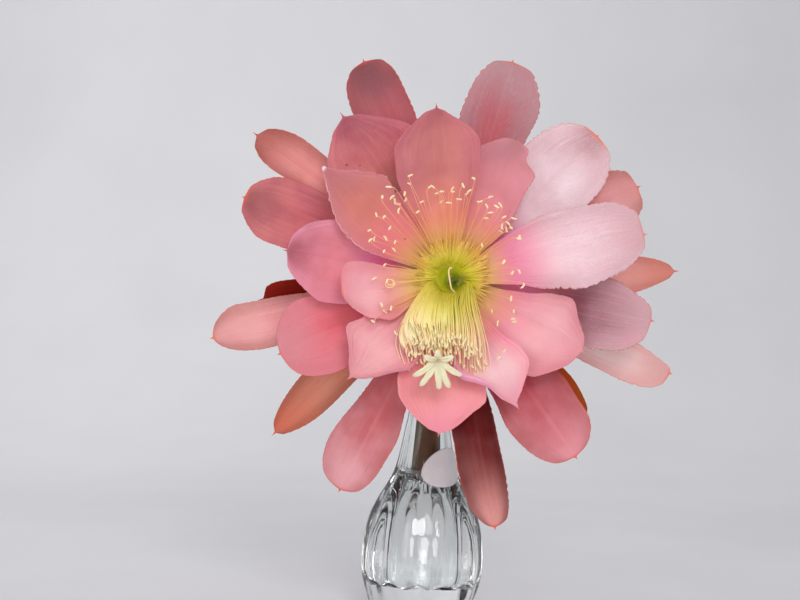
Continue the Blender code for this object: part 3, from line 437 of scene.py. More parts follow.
# Scales of the floral tube: place along its path and turn round it in degrees
SCALES = ((36, 40), (48, 170), (56, 290), (64, 60), (70, 200), (44, 315), (60, 120))
SCALE_STEPS = 14
SCALE_HALF = 5
SCALE_LENGTH = 0.0088
SCALE_THICK = 0.00055
TUBE_SIDES = 72
FUNNEL_STEPS = 12

# Vase: its flutes, floor, lip, mouth and foot
FLUTES = 10
FLUTE_DEPTH = 0.0011
FLOOR_THICKNESS = 0.012
LIP_HEIGHT = 0.096
LIP_EDGE = 0.0006
LIP_ROUND = 0.00085
LIP_WALL = 0.0017
MOUTH_WALL = 0.0014
MOUTH_HEIGHT = 0.090
FOOT_HEIGHT = 0.0012
FOOT_ROUND = 0.0007
FLOOR_ROUND = 0.0045
FLOOR_SWELL = 0.0018
INNER_FLUTES = 0.45
# Wall of the vase: height, radius, share of the flutes' depth
VASE_WALL = [
    (0.0000, 0.0182, 0.0), (0.0012, 0.0194, 0.15), (0.0060, 0.0213, 0.6), (0.0130, 0.0234, 1.0),
    (0.0210, 0.02425, 1.0), (0.0300, 0.0236, 1.0), (0.0380, 0.0217, 1.0), (0.0450, 0.0186, 0.9),
    (0.0510, 0.0151, 0.7), (0.0570, 0.0123, 0.5), (0.0640, 0.0106, 0.35), (0.0720, 0.0091, 0.25),
    (0.0820, 0.0076, 0.1), (0.0865, 0.0077, 0.0), (0.0910, 0.0090, 0.0), (0.0948, 0.0112, 0.0),
    (LIP_HEIGHT, 0.0119, 0.0),
]
# Thickness of the wall in the body and in the neck
WALL_BODY = 0.0024
WALL_NECK = 0.0017
VASE_SIDES = 240

# Water: its surface, the hole round the tube, the gap to the glass and the rise at its brim
WATER_LEVEL = 0.0555
WATER_HOLE = 0.0049
WATER_GAP = 0.00012
MENISCUS = 0.0004
WATER_SIDES = 120

# Label: an oval that is turned in its own plane and wraps round the neck
LABEL_WIDTH = 0.0195
LABEL_HEIGHT = 0.0138
LABEL_TURN = math.radians(24)
LABEL_AZIMUTH = math.radians(37)
LABEL_MIDDLE = 0.0590
LABEL_LIFT = 0.00045
LABEL_CURL = 0.00035
LABEL_THICK = 0.00022
LABEL_RINGS = 14
LABEL_SIDES = 96

# Studio: where the floor starts, the radius of its sweep, the wall's height and the half width
FLOOR_FRONT = -1.6
SWEEP = 0.45
SWEEP_STEPS = 12
BACKDROP_HEIGHT = 2.2
FLOOR_HALF = 2.4
AIR_COLOUR = (0.92, 0.90, 0.93, 1.0)
AIR_LIGHT = 0.46
# Lamps: name, place, aim, size, power, colour
LAMPS = (
    ("key", (0.14, -0.94, 0.50), (0.0, -0.04, 0.13), 0.32, 2.95, (1.0, 0.985, 0.975)),
    ("front", (0.0, -1.00, 0.17), (0.0, -0.04, 0.13), 0.30, 1.4, (1.0, 0.985, 0.98)),
    ("fill", (-0.55, -0.85, 0.22), (0.0, -0.04, 0.12), 0.70, 1.7, (1.0, 0.97, 0.96)),
    ("back", (-0.3, 0.7, 0.8), (0.0, 0.0, 0.12), 0.5, 2.0, (1.0, 1.0, 1.0)),
)
LENS = 72.97
CAMERA_PLACE = (-0.0132, -0.645, 0.1237)
CAMERA_ROLL = math.radians(2.5)


def linear(colour):
    """Colour from 0 to 255 as the eye reads it, to the shader's linear values."""
    out = []
    for value in colour:
        share = min(1.0, value / 255)
        out.append(share / 12.92 if share <= 0.04045 else ((share + 0.055) / 1.055) ** 2.4)
    return (*out, 1.0)


def smooth(low, high, value):
    """Eased share of the way from low to high, held at 0 and 1 beyond them."""
    share = np.clip((value - low) / (high - low), 0.0, 1.0)
    return share * share * (3 - 2 * share)


def around(sides):
    """Angles of the corners of a ring."""
    return np.arange(sides) * 2 * math.pi / sides


def ray(angle):
    """Level direction at an angle."""
    return np.array((math.cos(angle), math.sin(angle), 0.0))


def unit(vectors):
    return vectors / np.linalg.norm(vectors, axis=-1, keepdims=True)


def bloom_frame(points):
    """Bloom coordinates (right, up, out to the front) to the part's."""
    u, v, w = np.moveaxis(np.asarray(points, float), -1, 0)
    turn_u = u * math.cos(BLOOM_TURN) - v * math.sin(BLOOM_TURN)
    turn_v = u * math.sin(BLOOM_TURN) + v * math.cos(BLOOM_TURN)
    return np.stack((THROAT[0] + turn_u, THROAT[1] - w, THROAT[2] + turn_v), -1)


def bell(radius, layer):
    """Height of a layer of tepals over the throat, by the distance from the axis."""
    share = (layer - BACK_LAYER) / (FRONT_LAYER - BACK_LAYER)
    out = (radius - ROOT_RADIUS) / FULL_RADIUS
    root = -0.0220 + 0.0200 * share
    rise = 0.0150 + 0.0600 * share
    fall = 0.0220 - 0.0030 * share
    collar = 0.0060 * (1 - np.exp(-np.maximum(0.0, radius - ROOT_RADIUS) / 0.0060))
    return root + rise * out - fall * out * out + collar


def through(stations, s):
    """Smooth value at s through (s, value) stations, without overshoot between them."""
    for i in range(len(stations) - 1):
        if s <= stations[i + 1][0]:
            break
    x0, y0 = stations[i]
    x1, y1 = stations[i + 1]
    here = (y1 - y0) / (x1 - x0)
    before = here
    after = here
    if i > 0:
        before = (y0 - stations[i - 1][1]) / (x0 - stations[i - 1][0])
    if i + 2 < len(stations):
        after = (stations[i + 2][1] - y1) / (stations[i + 2][0] - x1)
    start = 2 * before * here / (before + here) if before * here > 0 else 0.0
    end = 2 * after * here / (after + here) if after * here > 0 else 0.0
    t = (s - x0) / (x1 - x0)
    return (
        y0 * (1 + 2 * t) * (1 - t) ** 2 + (x1 - x0) * start * t * (1 - t) ** 2
        + y1 * t * t * (3 - 2 * t) + (x1 - x0) * end * t * t * (t - 1)
    )


def ripples(draw, count, low, high):
    """A smooth random function of one value, about -1 to 1, with waves from low to high."""
    waves = [(draw.uniform(low, high), draw.uniform(0, 6.283)) for _ in range(count)]

    def value(x):
        return sum(np.sin(6.2832 * rate * x + phase) for rate, phase in waves) / math.sqrt(count)

    return value


def catmull(points, steps):
    """Smooth path through the points, with a number of steps between one and the next."""
    points = np.asarray(points, float)
    padded = np.concatenate((
        [points[0] * 2 - points[1]], points, [points[-1] * 2 - points[-2]],
    ))
    out = []
    for i in range(len(points) - 1):
        a, b, c, d = padded[i:i + 4]
        for k in range(steps):
            t = k / steps
            out.append(0.5 * (
                2 * b + (c - a) * t + (2 * a - 5 * b + 4 * c - d) * t * t
                + (3 * b - a - 3 * c + d) * t ** 3
            ))
    return np.array([*out, points[-1]])


def frames(path, up):
    """Directions along a path, and two across it that turn as little as they can."""
    along = unit(np.gradient(path, axis=0))
    side = unit(up - along[0] * np.dot(up, along[0]))
    sides = []
    for ahead in along:
        side = unit(side - ahead * np.dot(side, ahead))
        sides.append(side)
    return along, np.array(sides), np.cross(along, sides)


def rings_at(centres, side, over, radii, sides, flat=1.0):
    """Rings of points round the centres; the radii may differ round a ring."""
    angles = around(sides)[:, None]
    shape = np.cos(angles) * side[:, None] * flat + np.sin(angles) * over[:, None]
    return (centres[:, None] + shape * np.reshape(radii, (len(centres), -1, 1))).reshape(-1, 3)


def tube_faces(count, sides):
    """Faces of a tube of rings; the middles of its two ends follow the rings' points."""
    faces = []
    for i in range(count - 1):
        for k in range(sides):
            a, b = i * sides + k, i * sides + (k + 1) % sides
            faces.append((a, b, b + sides, a + sides))
    last = (count - 1) * sides
    for k in range(sides):
        m = (k + 1) % sides
        faces.append((count * sides, m, k))
        faces.append((count * sides + 1, last + k, last + m))
    return faces


def tube(path, radii, sides, flat=1.0, up=None):
    """Points and faces of a closed tube along a path; flat squeezes it along its second side."""
    path = np.asarray(path, float)
    if up is None:
        up = np.array((0.31, 0.17, 0.93))
        if abs(np.dot(unit(up), unit(path[1] - path[0]))) > 0.9:
            up = np.array((0.93, 0.31, 0.17))
    _, side, over = frames(path, up)
    points = rings_at(path, side, over, radii, sides, flat)
    return np.concatenate((points, path[:1], path[-1:])), tube_faces(len(path), sides)


def ring_values(values, sides):
    """Value of each path point for the points that tube makes."""
    return np.concatenate((np.repeat(values, sides), values[:1], values[-1:]))


def sheet_faces(rows, columns):
    """Faces of a closed sheet whose front points come first and whose back ones follow."""
    count = rows * columns
    faces = []
    for i in range(rows - 1):
        for j in range(columns - 1):
            a = i * columns + j
            b = a + columns
            faces.append((a, b, b + 1, a + 1))
            faces.append((a + count, a + 1 + count, b + 1 + count, b + count))
    ring = list(range(columns))
    ring += [i * columns + columns - 1 for i in range(1, rows)]
    ring += [(rows - 1) * columns + j for j in range(columns - 2, -1, -1)]
    ring += [i * columns for i in range(rows - 2, 0, -1)]
    for k, a in enumerate(ring):
        b = ring[(k + 1) % len(ring)]
        faces.append((a, b, b + count, a + count))
    return faces


def normals_of(grid):
    """Directions square to a grid of points."""
    normal = np.cross(np.gradient(grid, axis=0), np.gradient(grid, axis=1))
    length = np.linalg.norm(normal, axis=-1, keepdims=True)
    return normal / np.maximum(length, 1e-12)


def sheet(grid, thick):
    """Points and faces of a closed sheet round a grid of points."""
    shift = normals_of(grid) * thick / 2
    points = np.concatenate(((grid + shift).reshape(-1, 3), (grid - shift).reshape(-1, 3)))
    return points, sheet_faces(*grid.shape[:2])


def mesh_object(name, points, faces, look):
    mesh = bpy.data.meshes.new(name)
    mesh.from_pydata([tuple(p) for p in points], [], faces)
    mesh.materials.append(look)
    mesh.shade_smooth()
    made = bpy.data.objects.new(name, mesh)
    bpy.context.scene.collection.objects.link(made)
    return made


def attribute(made, name, values):
    layer = made.data.attributes.new(name, "FLOAT", "POINT")
    layer.data.foreach_set("value", np.asarray(values, np.float32).ravel())


def place(made, node):
    """Put a piece on the root body, in place of a solid."""
    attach(made, "root")
    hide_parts(node)
    return made


class Heap:
    """Gathers many small closed shapes into one mesh, with values at its points."""

    def __init__(self):
        self.points = []
        self.faces = []
        self.values = {}
        self.count = 0

    def add(self, points, faces, **values):
        self.points.append(points)
        self.faces += [tuple(index + self.count for index in face) for face in faces]
        self.count += len(points)
        for key, value in values.items():
            self.values.setdefault(key, []).append(np.broadcast_to(value, (len(points),)))

    def build(self, name, look):
        made = mesh_object(name, np.concatenate(self.points), self.faces, look)
        for key, value in self.values.items():
            attribute(made, key, np.concatenate(value))
        return made


class Nodes:
    """Short calls for building a material's node tree.

    A colour of three values is one from 0 to 255 as the eye reads it, one of four is linear.
    """

    def __init__(self, name):
        self.material = bpy.data.materials.new(name)
        self.material.use_nodes = True
        self.tree = self.material.node_tree
        self.shader = self.tree.nodes["Principled BSDF"]

    def put(self, socket, value):
        if isinstance(value, bpy.types.NodeSocket):
            self.tree.links.new(value, socket)
        elif isinstance(value, tuple) and len(value) == 3:
            socket.default_value = linear(value)
        elif value is not None:
            socket.default_value = value

    def add(self, kind, inputs, output=0, **settings):
        """Output of a new node, with its inputs given in order or by name."""
        node = self.tree.nodes.new(kind)
        for key, value in settings.items():
            setattr(node, key, value)
        for key, value in inputs.items() if isinstance(inputs, dict) else enumerate(inputs):
            self.put(node.inputs[key], value)
        return node.outputs[output]

    def attribute(self, name):
        return self.add("ShaderNodeAttribute", (), "Fac", attribute_name=name)

    def where(self):
        return self.add("ShaderNodeTexCoord", (), "Object")

    def vector(self, *values):
        return self.add("ShaderNodeCombineXYZ", values)

    def math(self, operation, a, b=None, clamp=False):
        return self.add("ShaderNodeMath", (a, b), operation=operation, use_clamp=clamp)

    def times(self, first, *others):
        for other in others:
            first = self.math("MULTIPLY", first, other)
        return first

    def step(self, value, low, high, to_low=0.0, to_high=1.0):
        inputs = (value, low, high, to_low, to_high)
        return self.add("ShaderNodeMapRange", inputs, interpolation_type="SMOOTHSTEP")

    def mix(self, share, a, b):
        inputs = {"Factor": share, "A": a, "B": b}
        return self.add("ShaderNodeMix", inputs, "Result", data_type="RGBA")

    def noise(self, vector, scale, detail=3.0, roughness=0.55, distortion=0.0):
        return self.add("ShaderNodeTexNoise", {
            "Vector": vector, "Scale": scale, "Detail": detail, "Roughness": roughness,
            "Distortion": distortion,
        })

    def bump(self, height, strength, distance, base=None):
        return self.add("ShaderNodeBump", {
            "Strength": strength, "Distance": distance, "Height": height, "Normal": base,
        })

    def ramp(self, value, stops, ease="EASE"):
        node = self.tree.nodes.new("ShaderNodeValToRGB")
        node.color_ramp.interpolation = ease
        items = node.color_ramp.elements
        while len(items) < len(stops):
            items.new(0.5)
        for item, (at, _) in zip(items, stops):
            item.position = at
        for item, (_, colour) in zip(items, stops):
            item.color = linear(colour) if len(colour) == 3 else colour
        self.put(node.inputs[0], value)
        return node.outputs[0]

    def finish(self, colour, roughness, normal, **constants):
        self.put(self.shader.inputs["Base Color"], colour)
        self.put(self.shader.inputs["Roughness"], roughness)
        self.put(self.shader.inputs["Normal"], normal)
        for key, value in constants.items():
            self.shader.inputs[key.replace("_", " ")].default_value = value
        return self.material


def tepal_look(spec):
    root, middle, end, flank, rim, back, veins, blotch = PALETTES[spec.palette]
    dark = spec.palette in DARK
    calm = 0.35 if dark else 1.0
    index = float(TEPALS.index(spec))

    # Lightness scales every colour of the tepal: painted light and shade, a lighter or darker copy of the
    # palette by how the light falls on this tepal
    def shade(colour, by=1.0):
        return linear([value * spec.light * by for value in colour])

    n = Nodes(f"look_{spec.name}")
    along, side, axis, edge, rear = map(n.attribute, ("along", "side", "axis", "edge", "rear"))
    off = n.math("ABSOLUTE", side)
    spot = n.where()

    # From the root to the end. Where an end is darker than the middle, that is partly the tepal's own
    # colour and partly painted shade where it curves back from the light
    colour = n.ramp(along, [
        (0.0, shade(root)), (0.30, shade(root)), (0.62, shade(middle)), (1.0, shade(end)),
    ])
    # Flanks: partly the tepal's own colour, partly painted shade where the margins turn away from the
    # light
    colour = n.mix(n.step(off, 0.25, 0.95, 0.0, 0.62), colour, shade(flank))
    # Soft mottling in wide patches
    patches = n.noise(spot, 70.0, 2.0)
    colour = n.mix(n.step(patches, 0.35, 0.75, 0.0, 0.32 * calm), colour, shade(end, 1.04))
    colour = n.mix(n.step(patches, 0.62, 0.25, 0.0, 0.22 * calm), colour, shade(root, 0.96))
    if blotch:
        spread = n.times(
            n.step(along, 0.30, 0.55), n.step(along, 0.86, 0.62), n.step(off, 0.75, 0.10),
            n.step(patches, 0.2, 0.6, 0.5, blotch),
        )
        colour = n.mix(spread, colour, shade(root, 0.92))
    # Veins run from the root and fan out to the margin
    run = n.math("SUBTRACT", along, n.times(off, 0.30))
    broad = n.noise(n.vector(n.times(side, 16.0), n.times(run, 2.4), index), 1.0, 3.0, 0.6, 0.2)
    wavy = n.math("ADD", n.times(run, 105.0), n.times(n.noise(spot, 120.0), 3.0))
    hairs = n.noise(n.vector(wavy, n.times(side, 9.0), index + 7.0), 1.0, 3.0, 0.6)
    wide = n.step(along, 0.35, 0.75, 0.1, 1.0)
    colour = n.mix(n.step(broad, 0.50, 0.76, 0.0, 0.32 * veins + 0.04), colour, shade(root, 0.97))
    colour = n.mix(n.step(broad, 0.48, 0.20, 0.0, 0.30 * veins), colour, shade(middle, 1.06))
    deep = n.times(n.step(hairs, 0.50, 0.68, 0.0, 0.40 * veins ** 2 + 0.04), wide)
    colour = n.mix(deep, colour, shade(root, 1.0 - 0.16 * veins))
    pale = n.times(n.step(hairs, 0.46, 0.28, 0.0, 0.22 * veins ** 3), wide)
    colour = n.mix(pale, colour, PALE_VEIN)
    # Pale streak on the midrib, then a fine grain
    rib = n.times(n.step(off, 0.10, 0.0), n.step(along, 0.30, 0.95, 0.03 * calm, 0.16 * calm))
    colour = n.mix(rib, colour, shade(end, 1.1))
    grain = n.noise(spot, 2600.0, 2.0, 0.6)
    colour = n.mix(n.step(grain, 0.3, 0.7, 0.0, 0.10), colour, shade(middle, 1.12))
    # Magenta tint near the axis, partly the flower's own flush and partly painted light that shines
    # through the tepals in front, and the yellow-green heart of the bloom
    if spec.glow:
        colour = n.mix(n.times(n.step(axis, 40.0, 23.0), spec.glow), colour, MAGENTA_GLOW)
    start = HEART[0][0]
    span = HEART[-1][0] - start
    near = n.math("DIVIDE", n.math("SUBTRACT", axis, start), span, True)
    heart = n.ramp(near, [((at - start) / span, tint) for at, tint in HEART], "LINEAR")
    colour = n.mix(n.step(axis, 25.0 if spec.glow > 0.6 else 30.0, 13.0), colour, heart)
    if spec.name in SPECKLED:
        cells = n.add("ShaderNodeTexVoronoi", {"Vector": spot, "Scale": 190.0}, "Distance")
        dots = n.step(cells, 0.10, 0.05)
        colour = n.mix(n.times(dots, n.step(n.noise(spot, 130.0, 1.0), 0.60, 0.66)), colour, SPECK)
    # Rim and tip
    ragged = n.math("ADD", edge, n.times(n.noise(spot, 900.0), 0.35))
    strong = 0.35 if spec.name in FAINT_RIM else 1.0
    patchy = n.step(n.noise(spot, 55.0, 1.0), 0.40, 0.62, 0.12 * strong, 0.80 * strong)
    colour = n.mix(n.times(n.step(ragged, 0.62, 0.20), patchy), colour, shade(rim))
    colour = n.mix(n.step(along, 0.965, 0.99, 0.0, 0.85), colour, shade(rim, 1.1))
    # Back: broad veins, a darker midrib and a yellowish root
    under = n.mix(n.step(broad, 0.35, 0.70), shade(back, 0.90), shade(back, 1.06))
    under = n.mix(n.step(off, 0.13, 0.0, 0.0, 0.45), under, shade(back, 0.74))
    under = n.mix(n.step(along, 0.40, 0.0, 0.0, 0.35), under, YELLOW_ROOT)
    colour = n.mix(n.times(rear, 0.80), colour, under)

    normal = n.bump(hairs, 0.14 + 0.56 * veins ** 2, 0.0003)
    normal = n.bump(broad, 0.35 + 0.20 * veins ** 2, 0.0006, normal)
    normal = n.bump(grain, 0.18, 0.00012, normal)
    return n.finish(
        colour, n.step(grain, 0.2, 0.8, 0.46, 0.62), normal,
        Specular_IOR_Level=0.08 if dark else 0.32, Sheen_Weight=0.0 if dark else 0.18,
        Sheen_Roughness=0.45, Subsurface_Weight=0.35, Subsurface_Scale=0.0016,
        Subsurface_Radius=(1.0, 0.45, 0.40),
    )


def plain_half(spec, s):
    """Half width of a tepal that has no measured stations."""
    root, half = ROOT_WIDTH / 2, spec.width / 2000
    if s < spec.widest:
        share = s / spec.widest
        eased = share * share * (3 - 2 * share)
        return root + (half - root) * (0.45 * share + 0.55 * eased)
    share = (s - spec.widest) / (1 - spec.widest)
    return half * max(0.0, 1 - (share * 0.985) ** 2.2) ** spec.roundness


def half_widths(spec, rows):
    """Half widths in metres on the left and the right at every row."""
    line = np.linspace(0, 1, STATIONS)
    pair = []
    for side in (1, 2):
        stations = None
        last = 0.95
        if spec.name in OUTLINES:
            stations = [(0.0, ROOT_WIDTH / 2)]
            stations += [(row[0], row[side] / 1000) for row in OUTLINES[spec.name]]
            last, at_last = stations[-1]
            stations.append((1.0, 0.0))
        else:
            at_last = plain_half(spec, last)
        values = []
        for s in line:
            value = through(stations, s) if stations else plain_half(spec, s)
            if s > last:
                x = min(1.0, (s - last) / (1 - last))
                arc = at_last * math.sqrt(max(0.0, 1 - x ** 2.2))
                value = value * (1 - spec.end) + arc * spec.end
                if not stations:
                    value = min(value, at_last * math.sqrt(max(0.0, 1 - x ** 2.6)))
            values.append(value)
        # Take the corners off between the stations
        values = np.array(values)
        blur = np.exp(-0.5 * (np.arange(-24, 25) / 7.0) ** 2)
        padded = np.concatenate((2 * values[0] - values[24:0:-1], values, np.zeros(24)))
        soft = np.convolve(padded, blur / blur.sum(), "valid")
        keep = smooth(0.93, 0.985, line) * 0.8
        values = soft * (1 - keep) + values * keep
        # The blade proper ends where the small point on its tip begins
        size = 0.15 if spec.name in BLUNT else 1.0 if spec.end < 0.5 else 0.62
        thorn = min(MUCRO * size * 1000 / spec.reach, (1 - last) * 0.6)
        squeezed = np.where(rows > last, last + (rows - last) * (1 - last) / (1 - last - thorn), rows)
        body = np.interp(np.minimum(1.0, squeezed), line, values)
        body = np.where(squeezed >= 1.0, 0.0, body)
        point = 0.00080 * np.minimum(1.0, (1 - rows) / (thorn * 1.7)) ** 1.1
        pair.append(np.maximum(np.maximum(body, point), 0.00008))
    return pair


def curl_share(share):
    """How far the curl has grown at each row: from nothing near the root, and back at the tip."""
    return smooth(0.22, 0.50, share) * np.clip((1 - share) / 0.24, 0, 1) ** 0.8


def calmed(values, reach=9, width=4.0):
    """Rows of vectors, each blended with its neighbours."""
    blur = np.exp(-0.5 * (np.arange(-reach, reach + 1) / width) ** 2)
    blur /= blur.sum()
    ends = np.repeat(values[:1], reach, 0), np.repeat(values[-1:], reach, 0)
    padded = np.concatenate((ends[0], values, ends[1]))
    return np.stack([np.convolve(padded[:, axis], blur, "valid") for axis in range(3)], -1)


def curl_margin(grid, rows, side, depth):
    """Bend one margin of a tepal's grid of points over towards the front."""
    columns = list(range(grid.shape[1]))
    if side == "left":
        columns.reverse()
    runs, limits, starts, overs = [], [], [], []
    for i, limit in enumerate(depth / 1000 * curl_share(rows)):
        line = grid[i, columns]
        run = np.concatenate(([0.0], np.cumsum(np.linalg.norm(np.diff(line, axis=0), axis=1))))
        limit = min(limit, run[-1] * 0.38)
        start, inner = (
            np.array([np.interp(at, run, line[:, axis]) for axis in range(3)])
            for at in (limit, limit + 0.0006)
        )
        runs.append(run)
        limits.append(limit)
        starts.append(start)
        overs.append(unit(start - inner))
    overs = calmed(np.array(overs))
    ahead = calmed(np.gradient(grid[:, columns[0]], axis=0))
    for i, limit in enumerate(limits):
        if limit < 0.0001:
            continue
        over = unit(overs[i])
        front = unit(np.cross(over, ahead[i]))
        if front[1] > 0:
            front = -front
        for k, column in enumerate(columns):
            if runs[i][k] >= limit:
                break
            turn = (limit - runs[i][k]) / CURL_RADIUS
            grid[i, column] = starts[i] + CURL_RADIUS * (
                over * math.sin(turn) + front * (1 - math.cos(turn)))
    return grid


def blade_sheet(spec):
    """Grid of points on the middle of a tepal, with s, t and the distance to the margin."""
    draw = random.Random(spec.name)
    turn = math.radians(spec.turn)
    reach = spec.reach / 1000
    size = spec.width / 30.0
    curl_side, curl_depth = CURL.get(spec.name, (None, 0.0))
    rows = 1 - (1 - np.linspace(0, 1, ROWS)) ** 1.35
    left, right = half_widths(spec, rows)
    # Margins: a fine ragged line, with small teeth near the end
    teeth = [ripples(draw, 7, 14, 46), ripples(draw, 7, 14, 46)]
    lobes = [ripples(draw, 3, 1.5, 5.0), ripples(draw, 3, 1.5, 5.0)]
    free = smooth(0.12, 0.45, rows) * smooth(1.0, 0.93, rows)
    notch = []
    for k in (0, 1):
        jag = teeth[k](rows)
        jag = np.where(jag > 0, jag * 0.55, jag)
        notch.append((spec.ragged * jag + 0.25 * size * lobes[k](rows) - 0.1) * free / 1000)
    if curl_side:
        extra = (curl_depth / 1000 - CURL_RADIUS) * curl_share(rows)
        if curl_side == "left":
            left = left + extra
            notch[0] = notch[0] * 0
        else:
            right = right + extra
            notch[1] = notch[1] * 0
    t = np.linspace(-1, 1, COLUMNS + (CURL_COLUMNS if curl_side else 0))
    t = np.sign(t) * (1 - (1 - np.abs(t)) ** (1.5 if curl_side else 1.15))
    t, s = np.meshgrid(t, rows)
    on_left = t > 0
    half = np.where(on_left, left[:, None], right[:, None])
    margin = np.where(on_left, notch[0][:, None], notch[1][:, None])
    across = t * half + np.sign(t) * margin * np.abs(t) ** 6
    roll_left, roll_right = ROLL.get(spec.name, (0.0, 0.0))
    roll = np.where(on_left, roll_left, roll_right) / 1000
    body = np.where(s < 0.95, np.sin(np.pi * np.minimum(1.0, s * 1.05)) ** 0.7, 0.0)
    if spec.name == FRAYED:
        fray = 0.13 * np.abs(t) ** 3 * (0.5 - 0.5 * np.cos(2 * np.pi * s / 0.21))
        tear = 0.05 * np.abs(t) ** 5 * np.maximum(0, np.sin(2 * np.pi * s / 0.083)) ** 2
        zone = (t < 0) & (s > 0.5) & (s < 0.98)
        across = np.where(zone, across * (1 - fray - tear), across)
    across = across * (1 - 35 * roll * body * np.abs(t) ** 3)
    side = across + BOW.get(spec.name, 0.0) / 1000 * np.sin(np.pi * s)
    out = ROOT_RADIUS + (reach - ROOT_RADIUS) * s
    u = out * math.cos(turn) - side * math.sin(turn)
    v = out * math.sin(turn) + side * math.cos(turn)
    # Cupped across, waved at the margins, the tip lifted
    w = bell(np.hypot(out, side), spec.layer)
    w = w + 0.0012 * size * body * t * t
    w = w - 0.0005 * body * np.exp(-(across / 0.0030) ** 2)
    phase = turn * 5.0 + np.where(on_left, 1.7, 0.0)
    w = w + 0.0007 * size * body * t * t * np.sin(13.0 * s + phase)
    w = w + roll * body * np.abs(t) ** 3
    w = w + TIP_LIFT.get(spec.name, 0.0) / 1000 * s ** 3
    # Fold along the midrib, soft cross waves and the relief of the veins
    w = w - 0.001 * spec.fold * 0.9 * body * (1 - np.abs(t)) ** 1.6
    wave = ripples(draw, 4, 0.8, 2.6)
    sway = ripples(draw, 4, 1.0, 3.4)
    ribs = ripples(draw, 5, 2.2, 6.5)
    w = w + 0.00042 * size * body * wave(s + 0.25 * t) * (0.35 + 0.65 * np.abs(t))
    w = w + 0.00034 * size * body * sway(1.3 * s - 0.4 * t) * t * t
    w = w + 0.00011 * body * ribs(t + 0.06 * np.sin(5 * s))
    edge = np.minimum((1 - np.abs(t)) * half, (1 - s) * reach) * 1000
    grid = bloom_frame(np.stack((u, v, w), -1))
    if curl_side:
        grid = curl_margin(grid, rows, curl_side, curl_depth)
    return grid, s, t, edge, np.hypot(u, v) * 1000


def build_tepal(spec):
    grid, s, t, edge, axis = blade_sheet(spec)
    # Fleshy near the root and the midrib, thin at the margin
    thick = BLADE * (0.42 + 0.58 * (1 - np.abs(t) ** 3)) * (1.25 - 0.55 * s)
    made = mesh_object(f"{spec.name}_petal", *sheet(grid, thick[..., None]), tepal_look(spec))
    for name, values in (("along", s), ("side", t), ("edge", edge), ("axis", axis)):
        attribute(made, name, (values, values))
    attribute(made, "rear", (np.zeros_like(s), np.ones_like(s)))
    return place(made, spec.name)


def anther(sacs, end, lean, draw, length, radius):
    """A small curled sac on the filament's end."""
    lean = unit(lean)
    bend = unit(np.cross(lean, [draw.uniform(-1, 1) for _ in range(3)]))
    curl = draw.uniform(0.0, 1.1)
    start = draw.choice((0.12, 0.12, 0.45))
    share = np.arange(len(SAC_PROFILE)) / (len(SAC_PROFILE) - 1)
    x = share[:, None]
    path = end + lean * length * (x - start) + bend * curl * length * x * (x - 0.7)
    sacs.add(
        *tube(path, SAC_PROFILE * radius, SAC_SIDES, 0.8), along=ring_values(share, SAC_SIDES),
        tint=draw.random(),
    )


def filament(threads, sacs, path, lean, draw, thread, tint, sac=SAC_LENGTH):
    """One thread from its foot to its end, and the anther on it."""
    flat = catmull(path, 6)
    path = bloom_frame(flat)
    share = np.linspace(0, 1, len(path))
    radii = thread[0] + thread[1] * (1 - share) ** 2.2
    reach = np.hypot(flat[:, 0], flat[:, 1]) * 1000
    threads.add(
        *tube(path, radii, THREAD_SIDES), along=ring_values(share, THREAD_SIDES),
        reach=ring_values(reach, THREAD_SIDES), tint=tint, tone=draw.random(),
    )
    lean = bloom_frame(lean) - bloom_frame((0.0, 0.0, 0.0))
    anther(sacs, path[-1], lean, draw, sac * draw.uniform(0.7, 1.25), draw.uniform(0.00036, 0.00052))


def stand(aim, out, height):
    """Point at a distance out along a direction, and at a height over the throat."""
    return aim * out + (0, 0, height)


def fan_height(share, tip):
    """Height of an upper filament over the throat at a share of its way out."""
    return (0.0046 + 0.10 * tip) if share < 0.5 else (0.62 * tip + 0.0012)


def upper_fan(threads, sacs, draw):
    """The long threads end where their anthers show, shorter ones fill in between."""
    ends = list(FAN)
    for k in range(SHORT_THREADS):
        angle = 26 + 134 * (k + 0.5) / SHORT_THREADS + draw.uniform(-3.0, 3.0)
        lift = 0.5 + 0.5 * math.sin(math.radians(angle))
        ends.append((angle, 18.0 + 12.0 * lift + draw.uniform(-4.5, 2.0)))
    for angle, reach in ends:
        turn = math.radians(angle + draw.uniform(-0.8, 0.8))
        reach = reach / 1000
        aim = ray(turn)
        cross = np.array((-aim[1], aim[0], 0.0))
        tip = bell(reach, FRONT_LAYER) + 0.0024 + draw.uniform(0.0, 0.0036)
        sway = draw.uniform(-0.0012, 0.0012)
        root = FOOT_RING + draw.uniform(-0.0004, 0.0004)
        arch = draw.uniform(-0.0005, 0.0004)
        hook = draw.uniform(-0.0012, 0.0012)
        path = [
            stand(aim, root, FOOT_DEPTH),
            stand(aim, root + 0.0002, 0.0014),
            stand(aim, root + 0.26 * (reach - root), fan_height(0.26, tip) + arch) + cross * sway * 0.4,
            stand(aim, root + 0.64 * (reach - root), fan_height(0.64, tip) + arch) + cross * sway,
            stand(aim, reach - 0.0018, tip) + cross * sway * 0.6,
            stand(aim, reach, tip + 0.0007) + cross * (sway * 0.4 + hook),
        ]
        twist = turn + draw.choice((-1, 1)) * draw.uniform(0.5, 1.9)
        lean = (math.cos(twist), math.sin(twist), draw.uniform(-0.1, 0.6))
        filament(threads, sacs, path, lean, draw, FAN_THREAD, UPPER)


